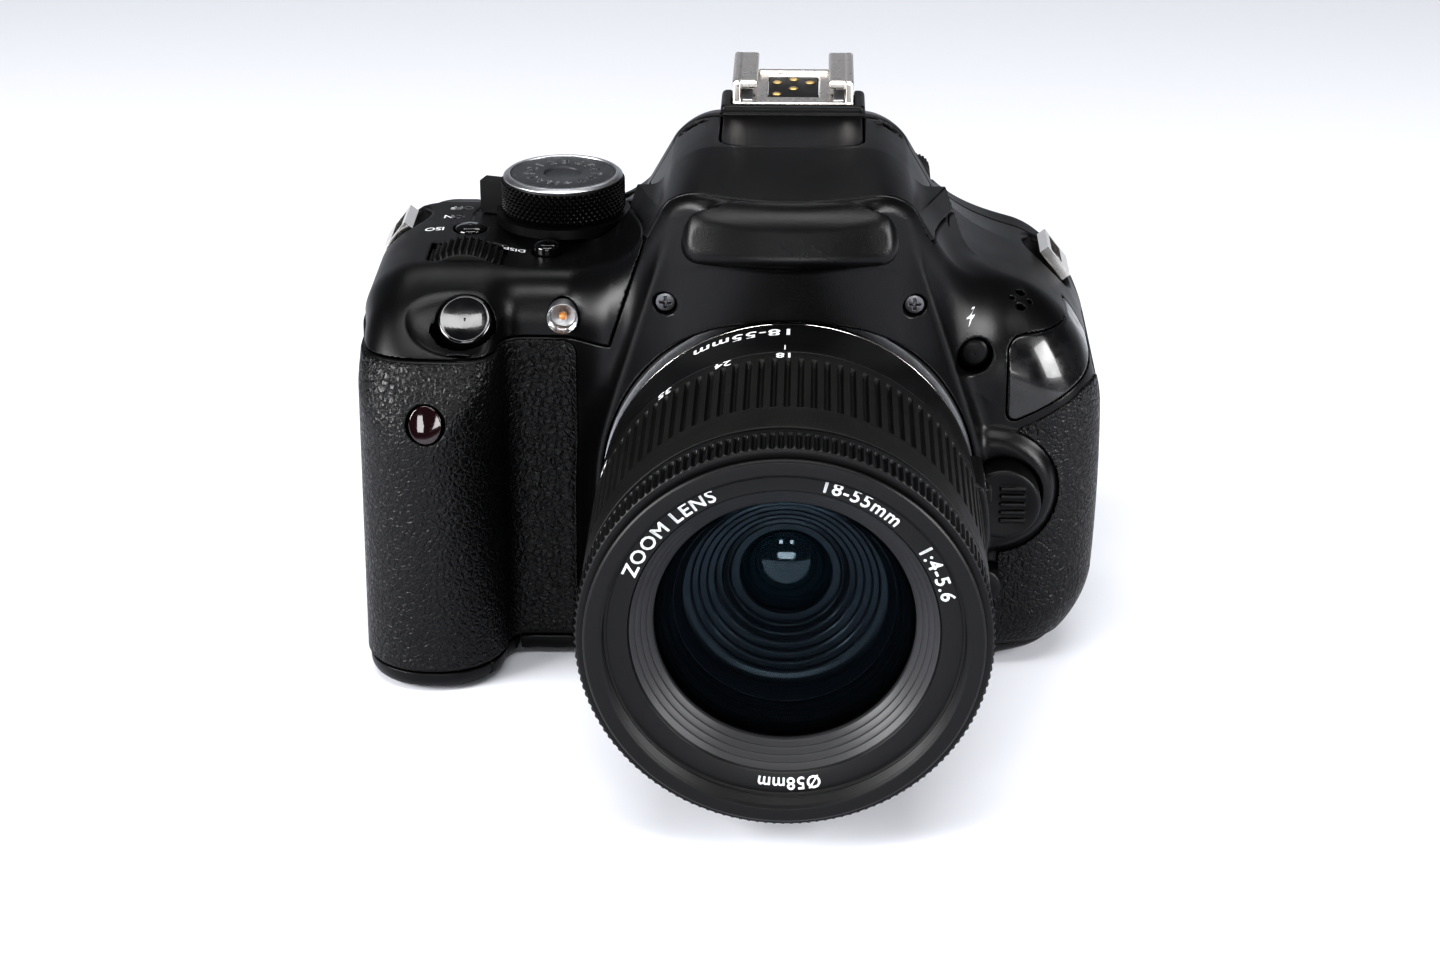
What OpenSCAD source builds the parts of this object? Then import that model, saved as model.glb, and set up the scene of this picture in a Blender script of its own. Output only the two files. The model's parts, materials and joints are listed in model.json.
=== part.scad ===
// Digital single-lens reflex camera with a short zoom lens.
// Origin: mouth of the tripod socket, under the optical axis.
// +X: away from the grip, -Y: the way the lens points, +Z: up.

/* [Body] */
// Height of the optical axis over the base
axis_z = 38; // [37:0.5:39]
// Front face of the body's lens mount
mount_y = -30; // [-31:0.5:-29]
// Wall of the plastic covers
wall = 2; // [1.6:0.1:2.4]
// Gap round doors, the flash head and the screen
gap = 0.4; // [0.3:0.05:0.5]
// Clearance round each button
play = 0.25; // [0.2:0.05:0.35]

/* [Lens] */
// Largest radius of the lens
lens_r = 33.25; // [33:0.25:34]
// Length of the lens in front of the mount
lens_len = 61.8; // [60:0.1:64]
// Radius over the crests of the filter thread
filter_r = 28.6; // [28.5:0.05:28.7]
// Ribs round the zoom ring
zoom_ribs = 60; // [40:4:72]
// Teeth round the focus ring
focus_teeth = 90; // [60:6:120]

/* [Controls] */
// Radius of the mode dial
dial_r = 11.2; // [10.5:0.1:11.6]
// Radius of the shutter button
shutter_r = 4.8; // [4.5:0.1:5]
// Ridges round the main dial
dial_ridges = 24; // [18:2:30]

/* [Screen] */
// Width of the swinging screen
screen_w = 80; // [78:1:82]
// Height of the swinging screen
screen_h = 56; // [52:1:58]
// Thickness of the swinging screen
screen_t = 7.6; // [7:0.1:8]

/* [Hidden] */

$fn = 48;
hull_fn = 28;
far = 200;

// Main planes of the body
front_y = -25;
base_top = 4;
cover_seam_y = 19;
top_z = 73;
skin = 0.7;
panel = 0.15;

// Lens stations, as distances along Y
lens_front = mount_y - lens_len;
zoom_rear = -49.6;
zoom_front = -81.8;
focus_rear = -82.3;
focus_front = -90.2;

// Shutter platform, tilted towards the front
shutter_at = [-56, -26.2, 67];
shutter_tilt = 45;

mode_at = [-41.5, 10.3, top_z];
mode_top = 82.2;
main_dial_at = [-57.5, -8, 66];
main_dial_r = 9;
main_dial_w = 9;
iso_at = [-58, 4.2, top_z];
display_at = [-43.4, -4.8, top_z];
display_r = 2.4;
lens_release_at = [36, -24, 35.5];
preview_at = [34.5, -24, 18];
flash_button_at = [32, -20.5, 60.5];
lamp_at = [-39.5, -19.5, 66];
remote_at = [-62.2, -38, 52];

// Back controls, seen from behind: centre and radius of each round button
back_buttons = [
    ["menu_button", 37.5, 66.2, 2.7],
    ["info_button", 28, 67.4, 2.7],
    ["live_view_button", -30.5, 68, 3.2],
    ["exposure_button", -43.5, 62, 2.7],
    ["quick_button", -57, 55, 2.7],
    ["playback_button", -44, 14, 2.7],
    ["erase_button", -57, 14, 2.7]
];
keys_at = [-50, 36];
keys_r = 9.5;
set_r = 3.6;
lock_at = [-55.5, 22.5, 69.6];
point_at = [-66.5, 22.5, 67];

// Screen, on its hinge at the side away from the grip
screen_x = [-30.5, -30.5 + screen_w];
screen_z = [6, 6 + screen_h];
screen_y = [31.2 - screen_t, 31.2];
arm_at = [52.6, 27.8];
arm_r = 2.6;

// Flash head: pivot at its rear edge, and the knuckles on it
flash_pivot = [6, 91.5];
flash_pin_r = 1.2;
knuckle_r = 2.5;
knuckle_x = [13.2, 17];
flash_z = 80;
saddle_w = 25;

// Eyepiece height and the sight adjustment knob beside it
sight_z = 76;
diopter_at = [22.5, 0, 77];

module at(p) {
    translate(p) children();
}

module along_y(y, h) {
    translate([0, y, 0]) rotate([-90, 0, 0]) cylinder(r = h[0], h = h[1]);
}

// Box from its lowest to its highest corner
module block(lo, hi) {
    translate(lo) cube(hi - lo);
}

// Ball at x, y, z of radius r, drawn in by g
module ball(p, g) {
    translate([p[0], p[1], p[2]]) sphere(r = p[3] - g, $fn = hull_fn);
}

module blob(points, g) {
    hull() for (p = points) ball(p, g);
}

// Both sides of a mirrored pair of balls
function pair(x, y, z, r) = [[x, y, z, r], [-x, y, z, r]];

core_balls = [
    [46, -16, 8, 9], [47, 19.5, 8, 9], [45.5, 18, 55.5, 10.5], [45, -11, 54, 10.5],
    [22, 18, 66, 10], [22, -12, 64, 10], [-64, 16.5, 61, 12], [-63, -8, 61, 12],
    [-66, 19.5, 8, 9], [-66, -8, 8, 9]
];
grip_balls = [
    [-66, -27.5, 9, 10], [-60, -29.5, 9, 9], [-66, -26.5, 50, 10], [-60, -29, 52, 9.5],
    [-63.5, -15, 61, 12], [-57, -16, 62.5, 10.5], [-66, 0, 9, 10], [-58, 0, 9, 10]
];
hump_balls = concat(
    pair(13, 7, 84.3, 9.7), pair(14.5, -22.5, 82, 8.8), pair(17, 8, 70, 10), pair(19, -16, 70, 8)
);
visor_balls = concat(pair(13.5, -30.3, 84.3, 5.7), pair(15, -22, 75, 6.2));
finder_balls = concat(pair(13, 23, 78, 8), pair(12, 10, 84, 9.5), pair(16, 18, 68, 9));
release_balls = [[36, -20.5, 35.5, 9.5], [36, -10, 35.5, 12], [32, -14, 12, 9]];

// Plate round the mount, rising to the visor
module surround(g) {
    hull() {
        translate([0, 0, axis_z]) along_y(front_y - 3 + g, [36 - g, 20]);
        for (b = pair(20.5, -22, 77, 4.5)) ball(b, g);
        for (b = pair(30, -21, 9, 6)) ball(b, g);
    }
}

// Outside of the whole body, drawn in by g
module outside(g) {
    blob(core_balls, g);
    blob(grip_balls, g);
    blob(hump_balls, g);
    blob(visor_balls, g);
    blob(finder_balls, g);
    blob(release_balls, g);
    surround(g);
}

module body_solid(g) {
    intersection() {
        outside(g);
        block([-far, -far, g], [far, far, far]);
    }
}

module body_shell() {
    difference() {
        body_solid(0);
        body_solid(wall);
    }
}

// Cylinder along X about the flash head's pivot
module pivot_bar(r, x0, x1) {
    translate([x0, flash_pivot[0], flash_pivot[1]]) rotate([0, 90, 0]) cylinder(r = r, h = x1 - x0);
}

// Space of the flash head: the top of the hump round the front of the shoe's table
module flash_zone(g) {
    difference() {
        union() {
            block([-29, -34 + g, flash_z + g], [29, flash_pivot[0] - g, far]);
            pivot_bar(knuckle_r + 0.2 - g, -29, 29);
        }
        block([-saddle_w / 2 - g, -8 - g, 70], [saddle_w / 2 + g, far, far]);
        blob(visor_balls, -g);
    }
}

// Space of the top cover: the grip side's top and the middle behind the flash
module top_zone(g) {
    difference() {
        union() {
            block([-far, -far, 61.5 + g], [-26 - g, far, far]);
            block([-27, -12 + g, 74 + g], [27 - g, far, far]);
        }
        translate([-33, 0, 65]) rotate([0, 30, 0]) block([0, -far, -30], [12 + g, -6, 14]);
        block([26 - g, -far, 0], [far, far, far]);
    }
}

// Openings in the covers for what comes through them
module front_openings() {
    translate([0, 0, axis_z]) along_y(-60, [32.7, 60]);
    at(lens_release_at) along_y(-20, [6.6 + play, 40]);
    at(preview_at) along_y(-20, [3.4 + play, 40]);
    at(flash_button_at) along_y(-20, [2.8 + play, 40]);
    at(remote_at) along_y(-4, [3.4, 10]);
    for (x = [-21.3, 21.3]) translate([x, front_y - 9, 71.4]) along_y(0, [1.9, 8.5]);
    battery_void(0.2);
}

module top_openings() {
    at(shutter_at) rotate([shutter_tilt, 0, 0]) translate([0, 0, -8]) cylinder(r = shutter_r + play, h = 20);
    at(mode_at) translate([0, 0, -8]) cylinder(r = 3 + play, h = 12);
    lever_pocket();
    at(iso_at) translate([0, 0, -8]) cylinder(r = 2.8 + play, h = 12);
    at(display_at) translate([0, 0, -8]) cylinder(r = display_r + play, h = 12);
    at(main_dial_at) block([-9.6, -5.2, 0], [9.6, 5.2, 14]);
    at(lamp_at) along_y(-10, [2.8, 20]);
}

module lever_pocket() {
    at(mode_at) cylinder(r = lever_r + 0.5, h = 12);
}

lug_at = [[-72.6, 13.5, 68.6, 38], [48.6, 13.5, 65, -38]];

module lug_pockets() {
    for (p = lug_at) translate([p[0], p[1], p[2]]) sphere(r = 6.8, $fn = hull_fn);
}

module front_cover() {
    color([0.05, 0.05, 0.055]) difference() {
        body_shell();
        block([-far, cover_seam_y - panel, -far], [far, far, far]);
        block([-far, -far, -far], [far, far, base_top + panel]);
        top_zone(-panel);
        flash_zone(-gap / 2);
        front_openings();
        lug_pockets();
        card_zone(0);
        terminal_zone(0);
        name_plate_zone(0.1);
    }
}

module top_cover() {
    color([0.05, 0.05, 0.055]) {
        difference() {
            intersection() {
                body_shell();
                top_zone(panel);
            }
            block([-far, cover_seam_y - panel, -far], [far, far, far]);
            flash_zone(-gap / 2);
            top_openings();
            lug_pockets();
        }
    }
    color([0.05, 0.05, 0.055]) saddle();
}

// Table that carries the accessory shoe, with the floor of the flash well and the head's pins
module saddle() {
    pin_w = knuckle_x[1] - knuckle_x[0] + 1.5;
    for (x = [-knuckle_x[1], knuckle_x[0] - 1.5]) pivot_bar(flash_pin_r, x, x + pin_w);
    difference() {
        union() {
            block([-12, -7.6, 78.2], [12, cover_seam_y - 0.4, 94.2]);
            block([-22.5, -11.5, 77.2], [22.5, cover_seam_y - 0.4, 78.6]);
        }
        block([-10.5, -6, 76], [10.5, far, 92]);
    }
}

module back_cover() {
    color([0.05, 0.05, 0.055]) difference() {
        body_shell();
        block([-far, -far, -far], [far, cover_seam_y + panel, far]);
        block([-far, -far, -far], [far, far, base_top + panel]);
        screen_zone(gap);
        lever_pocket();
        lug_pockets();
        for (b = back_buttons) translate([b[1], 0, b[2]]) along_y(10, [b[3] + play, 40]);
        translate([keys_at[0], 0, keys_at[1]]) along_y(10, [keys_r + play, 40]);
        for (p = [lock_at, point_at])
            at(p) rotate([-60, 0, 0]) translate([0, 0, -10]) cylinder(r = 2.6 + play, h = 30);
        block([-9, 10, sight_z - 6], [9, far, sight_z + 6]);
        translate(diopter_at) along_y(10, [3 + play, 40]);
        card_zone(0);
        terminal_zone(0);
    }
    color([0.05, 0.05, 0.055]) screen_well();
}

// Floor of the hollow behind the screen
module screen_well() {
    block([screen_x[0] - 1.2, 21.6, screen_z[0] - 0.8], [47, 23.2, screen_z[1] + 1.2]);
}

module screen_zone(g) {
    block([screen_x[0] - g, screen_y[0] - g, screen_z[0] - g], [far, far, screen_z[1] + g]);
}

module base_cover() {
    color([0.06, 0.06, 0.065]) difference() {
        intersection() {
            body_solid(0);
            block([-far, -far, 0], [far, far, base_top - panel]);
        }
        translate([0, 0, 2.4]) intersection() {
            outside(wall + 0.6);
            block([-far, -far, 0], [far, far, 10]);
        }
        translate([0, 0, -1]) cylinder(r = 5.1, h = 10);
        battery_void(gap);
        for (p = base_screws) translate([p[0], p[1], -1]) cylinder(r = 1.9, h = 10);
    }
}

base_screws = [[38, -14], [38, 18], [-30, 20], [-36, -16]];
battery_hinge = [-50.6, 1.75];

// Opening of the battery compartment in the base
module battery_void(g) {
    block([-73 + 1 - g, -31 - g, -1], [battery_hinge[0] + 1.3 + g, 9 + g, 5]);
}

module battery_door() {
    color([0.06, 0.06, 0.065]) {
        difference() {
            union() {
                block([-72, -31, 0.4], [battery_hinge[0], 9, 2.6]);
                translate([battery_hinge[0], -31, battery_hinge[1]]) along_y(0, [1.3, 40]);
            }
            translate([-69.5, -14, -0.2]) block([0, 0, 0], [1.2, 6, 1.1]);
            translate([battery_hinge[0], -32, battery_hinge[1]]) along_y(0, [0.55, 50]);
        }
    }
}

// Side zone of the memory card door, at the back of the grip
module card_zone(g) {
    block([-far, 3 + g, 24 + g], [-71, 23.5 - g, 56 - g]);
}

module card_door() {
    color([0.05, 0.05, 0.055]) difference() {
        intersection() {
            body_shell();
            card_zone(gap);
        }
        translate([-75.6, 8, 40]) sphere(r = 1.6, $fn = 20);
    }
}

// Side zone of the cover over the sockets
module terminal_zone(g) {
    block([52, -12 + g, 20 + g], [far, 14 - g, 56 - g]);
}

module terminal_cover() {
    color([0.07, 0.07, 0.07]) intersection() {
        body_shell();
        terminal_zone(gap);
    }
}

// Skins of textured rubber, standing proud of the covers
module rubber_layer() {
    difference() {
        intersection() {
            union() {
                blob(grip_balls, -skin);
                blob(core_balls, -skin);
            }
            block([-far, -far, 0.5], [far, far, far]);
        }
        body_solid(-0.02);
    }
}

module grip_rubber() {
    color([0.04, 0.04, 0.045]) difference() {
        rubber_layer();
        block([-38, -far, -far], [far, far, far]);
        block([-far, 1.5, -far], [far, far, far]);
        block([-far, -far, -far], [far, far, base_top + 0.4]);
        block([-far, -far, 60.5], [far, far, far]);
        at(remote_at) along_y(-4, [3.6, 10]);
    }
}

module side_rubber() {
    color([0.04, 0.04, 0.045]) difference() {
        rubber_layer();
        block([-far, -far, -far], [37, far, far]);
        block([-far, -13.5, -far], [far, far, far]);
        block([-far, -far, -far], [far, far, base_top + 2]);
        block([-far, -far, 47.5], [far, far, far]);
        blob(release_balls, -0.3);
        at(preview_at) along_y(-20, [3.9, 40]);
    }
}

// Blank badge set into the front cover
module name_plate_zone(g) {
    intersection() {
        translate([37.9 - g, -40, 49.4 - g]) block([0, 0, 0], [15.3 + 2 * g, 27 + g, 14 + 2 * g]);
        difference() {
            blob(core_balls, -0.2);
            blob(core_balls, 0.8);
        }
    }
}

module name_plate() {
    color([0.03, 0.03, 0.035]) name_plate_zone(0);
}

// Stamped steel frame: floor, two sides and the battery bay
module chassis() {
    color([0.65, 0.66, 0.68]) difference() {
        union() {
            block([-53, -13.5, 5], [44, 18, 6.2]);
            for (x = [-24.2, 23]) block([x, -18, 5], [x + 1.2, 18, 62]);
            block([-55, -22, 6.5], [-54, 8, 56]);
            block([-55, -13.5, 5], [-53, 8, 7]);
        }
        for (x = [-40, 34], y = [-8, 8]) translate([x, y, 4]) cylinder(r = 4, h = 4);
        for (z = [18, 34, 50]) translate([-30, 0, z]) rotate([0, 90, 0]) cylinder(r = 5, h = 60);
        cylinder(r = 6, h = 12);
    }
}

// Mirror box with the shutter unit screwed to its back
module mirror_box() {
    color([0.1, 0.1, 0.1]) {
        difference() {
            block([-21, -26.5, 15], [21, 8, 60.5]);
            block([-19, -30, 17], [19, 10, 58.4]);
            block([-15, -20, 50], [15, 3, 70]);
            translate([0, 0, axis_z]) along_y(-30, [27.3, 10]);
        }
        difference() {
            block([-20, 8.6, 19], [20, 12.4, 57]);
            block([-12, 5, axis_z - 8], [12, 20, axis_z + 8]);
        }
    }
}

module lug_ring(r0, r1, y0, y1, turn) {
    for (a = [0, 120, 240])
        translate([0, y1, axis_z]) rotate([90, turn + a, 0])
            rotate_extrude(angle = 44) translate([r0, 0]) square([r1 - r0, y1 - y0]);
}

module ring_y(r0, r1, y0, y1) {
    translate([0, y1, axis_z]) rotate([90, 0, 0])
        rotate_extrude() translate([r0, 0]) square([r1 - r0, y1 - y0]);
}

module body_bayonet() {
    color([0.75, 0.75, 0.77]) {
        ring_y(27, 32.4, mount_y, mount_y + 2.8);
        lug_ring(25.3, 27.5, mount_y, mount_y + 1.3, 0);
    }
}

module image_sensor() {
    color([0.2, 0.3, 0.25]) {
        block([-15, 14, axis_z - 11.5], [15, 16, axis_z + 11.5]);
        block([-19, 16.2, axis_z - 15], [19, 17.4, axis_z + 15]);
    }
}

// Focusing screen, roof mirror housing and eyepiece lens
module viewfinder_optics() {
    color([0.7, 0.75, 0.8]) {
        block([-14, -19, 58.8], [14, 2.5, 60.2]);
        translate([-12.5, 0, 0]) rotate([90, 0, 90]) linear_extrude(25) polygon([
            [-17, 61], [8, 61], [18, 72], [18, 76.5], [-8, 76.5], [-17, 70]
        ]);
        block([-10.2, 9.5, 76], [10.2, 18, 85]);
        block([-8, 21, sight_z - 5], [8, 25, sight_z + 5]);
    }
}

module main_board() {
    color([0.1, 0.35, 0.15]) block([-44, 18.4, 9], [43, 19.8, 62]);
}

module battery_pack() {
    color([0.12, 0.12, 0.13]) difference() {
        block([-70.8, -28.4, 3.4], [-56, 8.6, 56.6]);
        for (y = [-24, -20, -16]) block([-65, y, 3], [-61, y + 2, 4.6]);
    }
}

module memory_card() {
    color([0.1, 0.15, 0.4]) card_outline();
}

module card_outline() {
    translate([-70.5, 12.1, 28]) rotate([90, 0, 0]) linear_extrude(2.1) polygon([
        [0, 0], [30, 0], [32, 2], [32, 24], [0, 24]
    ]);
}

// Quarter-inch socket at the thread's crests
module tripod_socket() {
    color([0.72, 0.7, 0.66]) difference() {
        cylinder(r = 4.9, h = 6.6);
        translate([0, 0, -1]) cylinder(r = 2.6, h = 6.5);
    }
}

// Standard accessory shoe: floor, side walls and inward lips
module hot_shoe() {
    color([0.8, 0.8, 0.82]) difference() {
        block([-10.8, 9.6, 94.4], [10.8, 28.6, 99.5]);
        block([-9.35, 8, 95.6], [9.35, 27.6, 97.7]);
        block([-6.3, 8, 95.6], [6.3, 27.6, 101]);
    }
    color([0.85, 0.75, 0.45])
        for (p = [[0, 19], [-3.4, 23], [3.4, 23], [0, 24.5]])
            translate([p[0], p[1], 95.6]) cylinder(r = 0.9, h = 0.25);
}

module lug_loop() {
    difference() {
        block([-0.9, -5, -3.4], [0.9, 5, 3.4]);
        block([-2, -3.8, -1], [2, 3.8, 2.2]);
    }
}

module strap_lugs() {
    color([0.75, 0.75, 0.77]) {
        for (p = lug_at) translate([p[0], p[1], p[2]]) rotate([0, p[3], 0]) translate([0, 0, 1.2]) lug_loop();
    }
}

module cross_screw(r, h) {
    difference() {
        cylinder(r = r, h = h);
        for (a = [0, 90]) rotate([0, 0, a]) translate([-r * 0.6, -0.25, h - 0.5]) cube([r * 1.2, 0.5, 1]);
    }
}

module cover_screws() {
    color([0.12, 0.12, 0.12]) {
        for (x = [-21.3, 21.3]) translate([x, front_y - 1, 71.4]) rotate([90, 0, 0]) cross_screw(1.75, 1.4);
        for (p = base_screws) translate([p[0], p[1], 2.3]) rotate([180, 0, 0]) cross_screw(1.75, 2);
    }
}

module front_windows() {
    color([0.6, 0.55, 0.5]) at(lamp_at) along_y(-3.5, [2.6, 5]);
    color([0.1, 0.02, 0.03]) at(remote_at) along_y(-0.6, [3.2, 3]);
}

// Rubber eyepiece surround
module eyecup() {
    color([0.05, 0.05, 0.05]) difference() {
        hull() {
            for (x = [-12.5, 12.5], z = [-4, 3]) translate([x, 0, sight_z + z]) along_y(31.8, [5.5, 2]);
            for (x = [-13, 13], z = [-3.5, 3]) translate([x, 0, sight_z + z]) along_y(36, [5, 4.7]);
        }
        block([-10, 25, sight_z - 5.5], [10, 50, sight_z + 5.5]);
    }
}

// Hinge block of the screen, turning about its upright pin
module screen_arm() {
    color([0.08, 0.08, 0.085]) difference() {
        union() {
            translate([arm_at[0], arm_at[1], 20]) cylinder(r = arm_r, h = 28);
            block([50.1, arm_at[1] - 2.6, 20], [arm_at[0], arm_at[1] + 2.6, 48]);
        }
        translate([arm_at[0], arm_at[1], 10]) cylinder(r = 0.8, h = 50);
    }
}

// Box inside the screen's outline by rim, from y0 to y1 behind its front face
module screen_block(rim, y0, y1) {
    block(
        [screen_x[0] + rim, screen_y[0] + y0, screen_z[0] + rim],
        [screen_x[1] - rim, screen_y[0] + y1, screen_z[1] - rim]
    );
}

module screen_case() {
    color([0.08, 0.08, 0.085]) difference() {
        hull() for (x = [screen_x[0] + 4, screen_x[1] - 4], z = [screen_z[0] + 4, screen_z[1] - 4])
            translate([x, 0, z]) along_y(screen_y[0], [4, screen_t]);
        screen_block(5, -1, 1.6);
    }
}

// Panel of the screen; it faces the body when the screen is stowed
module screen_glass() {
    color([0.02, 0.02, 0.03]) screen_block(5.2, 0.2, 1.5);
}

module flash_head() {
    color([0.05, 0.05, 0.055]) difference() {
        union() {
            intersection() {
                body_shell();
                flash_zone(gap / 2);
            }
            for (x = [-knuckle_x[1], knuckle_x[0]]) pivot_bar(knuckle_r, x, x + knuckle_x[1] - knuckle_x[0]);
            for (x = [-knuckle_x[1], knuckle_x[0]]) block([x, -6, 88.5], [x + 3.8, flash_pivot[0], 92]);
        }
        pivot_bar(flash_pin_r + 0.15, -knuckle_x[1] - 1, knuckle_x[1] + 1);
    }
}

// Flash tube window on the underside of the head
module flash_window() {
    color([0.85, 0.85, 0.85]) block([-12.5, -22.5, 84.2], [12.5, -14, 87.2]);
}

module shutter_button() {
    color([0.03, 0.03, 0.03]) at(shutter_at) rotate([shutter_tilt, 0, 0]) difference() {
        translate([0, 0, -4.5]) cylinder(r = shutter_r, h = 6);
        translate([0, 0, 21.2]) sphere(r = 20);
    }
}

module dial_wheel(r, ridges, depth) {
    difference() {
        circle(r = r);
        for (i = [0 : ridges - 1]) rotate(i * 360 / ridges) translate([r, 0]) circle(r = depth, $fn = 6);
    }
}

module main_dial() {
    color([0.05, 0.05, 0.05]) at(main_dial_at) translate([0, main_dial_w / 2, 0]) rotate([90, 0, 0])
        linear_extrude(main_dial_w) dial_wheel(main_dial_r, dial_ridges, 0.7);
}

module small_button(r, h) {
    cylinder(r = r, h = h);
}

module iso_button() {
    color([0.04, 0.04, 0.04]) at(iso_at) translate([0, 0, -4]) small_button(2.8, 4.8);
}

module display_button() {
    color([0.04, 0.04, 0.04]) at(display_at) translate([0, 0, -4]) small_button(display_r, 4.8);
}

lever_r = dial_r + 4.6;

// Collar and finger lever under the mode dial
module power_switch() {
    color([0.05, 0.05, 0.05]) at(mode_at + [0, 0, 0.3]) difference() {
        union() {
            cylinder(r = dial_r + 1, h = 1.7);
            rotate([0, 0, 163]) translate([dial_r - 1, -1.6, 0]) cube([5.5, 3.2, 6]);
        }
        translate([0, 0, -1]) cylinder(r = 3.4, h = 5);
        translate([0, 0, 1.7]) cylinder(r = dial_r + 0.35, h = 10);
    }
}

module mode_dial() {
    color([0.05, 0.05, 0.05]) at(mode_at) {
        translate([0, 0, 2.2]) linear_extrude(mode_top - mode_at[2] - 2.2) dial_wheel(dial_r, 60, 0.35);
        translate([0, 0, -6]) cylinder(r = 3, h = 10);
    }
}

module lens_release() {
    color([0.05, 0.05, 0.05]) difference() {
        at(lens_release_at) along_y(-7.4, [6.6, 8]);
        translate([0, 0, axis_z]) along_y(-40, [33.4, 30]);
    }
}

module preview_button() {
    color([0.05, 0.05, 0.05]) at(preview_at) along_y(-4.4, [3.4, 6]);
}

module flash_button() {
    color([0.05, 0.05, 0.05]) at(flash_button_at) along_y(-2.6, [2.8, 6]);
}

mirror_hinge = [5.5, 54.5];

// Reflex mirror on its hinge rod
module main_mirror() {
    color([0.85, 0.87, 0.9]) translate([0, mirror_hinge[0], mirror_hinge[1]]) {
        translate([-16, 0, 0]) rotate([0, 90, 0]) cylinder(r = 1, h = 32);
        rotate([45, 0, 0]) block([-15.5, -29, -0.9], [15.5, -0.4, 0.5]);
    }
}

module diopter_knob() {
    color([0.05, 0.05, 0.05]) translate(diopter_at) along_y(22, [3, 8.4]);
}

module back_button(name) {
    for (b = back_buttons) if (b[0] == name)
        color([0.05, 0.05, 0.05]) translate([b[1], 0, b[2]]) along_y(22.5, [b[3], 5.7]);
}

module cross_keys() {
    color([0.05, 0.05, 0.05]) translate([keys_at[0], 0, keys_at[1]]) difference() {
        along_y(22.5, [keys_r, 5.4]);
        along_y(20, [set_r + play, 20]);
    }
}

module set_button() {
    color([0.05, 0.05, 0.05]) translate([keys_at[0], 0, keys_at[1]]) along_y(22.5, [set_r, 5.8]);
}

module slant_button(p) {
    color([0.05, 0.05, 0.05]) at(p) rotate([-60, 0, 0]) translate([0, 0, -3]) cylinder(r = 2.6, h = 5.6);
}

// Bayonet foot of the lens
module lens_mount() {
    color([0.2, 0.2, 0.2]) {
        ring_y(22.5, 31, mount_y - 2, mount_y - 0.1);
        ring_y(22.5, 24.9, mount_y - 0.5, mount_y + 4);
        lug_ring(24.5, 26.6, mount_y + 1.6, mount_y + 2.9, 0);
    }
}

// Turned shape about the optical axis: points are [radius, y]
module lathe(points) {
    translate([0, 0, axis_z]) rotate([-90, 0, 0]) rotate_extrude() polygon(points);
}

module lens_barrel() {
    color([0.05, 0.05, 0.055]) difference() {
        lathe([
            [22.5, mount_y - 2.1], [31.6, mount_y - 2.1], [32.4, mount_y - 4], [32.9, zoom_rear + 0.3],
            [29.2, zoom_rear + 0.3], [29.2, -76], [27.8, -76], [27.8, -46], [22.5, -46]
        ]);
        for (z = switch_z) switch_slot(z, 0.3);
    }
    color([0.05, 0.05, 0.055]) difference() {
        switch_panel();
        for (z = switch_z) switch_slot(z, 0.3);
    }
}

switch_z = [41.5, 33.5];

module switch_panel() {
    intersection() {
        block([31, zoom_rear + 2, 28], [34.2, mount_y - 4.5, 47]);
        lathe([[32.2, mount_y - 3], [34, mount_y - 4], [34, zoom_rear], [32.2, zoom_rear]]);
    }
}

module switch_slot(z, g) {
    block([31.4, -45 - g, z - 1.3 - g], [40, -37.5 + g, z + 1.3 + g]);
}

module lens_switch(z) {
    color([0.09, 0.09, 0.09]) block([31.8, -41, z - 1.3], [34.9, -38, z + 1.3]);
}

// Glass groups behind the front element, in their cells
module lens_glass() {
    color([0.3, 0.4, 0.45]) {
        lathe([[0, -52], [14, -52], [14, -47], [0, -46]]);
        lathe([[0, -42], [16, -42], [16, -36], [0, -38]]);
        lathe([[0, -33], [18, -33.5], [18, -29], [0, -30]]);
    }
    color([0.1, 0.1, 0.1]) {
        lathe([[14.1, -53], [22, -53], [22, -46.3], [14.1, -46.3]]);
        lathe([[16.1, -43], [22, -43], [22, -35.5], [16.1, -35.5]]);
        lathe([[18.1, -34], [22, -34], [22, -28.5], [18.1, -28.5]]);
        lathe([[7, -54.6], [22, -54.6], [22, -53.6], [7, -53.6]]);
    }
}

module zoom_ring() {
    color([0.05, 0.05, 0.055]) difference() {
        lathe([
            [30.9, zoom_rear], [33, zoom_rear], [33, -52.6], [32.8, -53], [32.8, -73], [33.1, -73.4],
            [33.1, zoom_front], [30.9, zoom_front]
        ]);
        for (i = [0 : zoom_ribs - 1])
            translate([0, 0, axis_z]) rotate([0, i * 360 / zoom_ribs, 0])
                block([32.2, -72.6, -0.5], [40, -53.4, 0.5]);
    }
}

module front_barrel() {
    color([0.05, 0.05, 0.055]) lathe([
        [29.4, -60], [30.5, -60], [30.5, lens_front], [filter_r, lens_front], [filter_r, lens_front + 3],
        [28.2, -88.4], [24.6, -87.6], [24.6, -87], [23.4, -87], [23.4, -86.2], [22.2, -86.2], [22.2, -85.2],
        [20.8, -85.2], [20.8, -78], [26.8, -78], [26.8, -77], [29.4, -77]
    ]);
}

module focus_ring() {
    color([0.05, 0.05, 0.055]) translate([0, focus_rear, axis_z]) rotate([90, 0, 0])
        linear_extrude(focus_rear - focus_front) difference() {
            dial_wheel(lens_r, focus_teeth, 0.5);
            circle(r = 30.7);
        }
}

module front_glass() {
    color([0.3, 0.4, 0.5, 0.4]) {
        lathe([[0, -86.4], [10, -85.9], [20.6, -84], [20.6, -80], [10, -81.6], [0, -82]]);
        lathe([[0, -74], [14, -73], [15, -70], [0, -70]]);
        lathe([[15.1, -75], [20.6, -77.5], [20.6, -70], [15.1, -70]]);
    }
}

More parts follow.
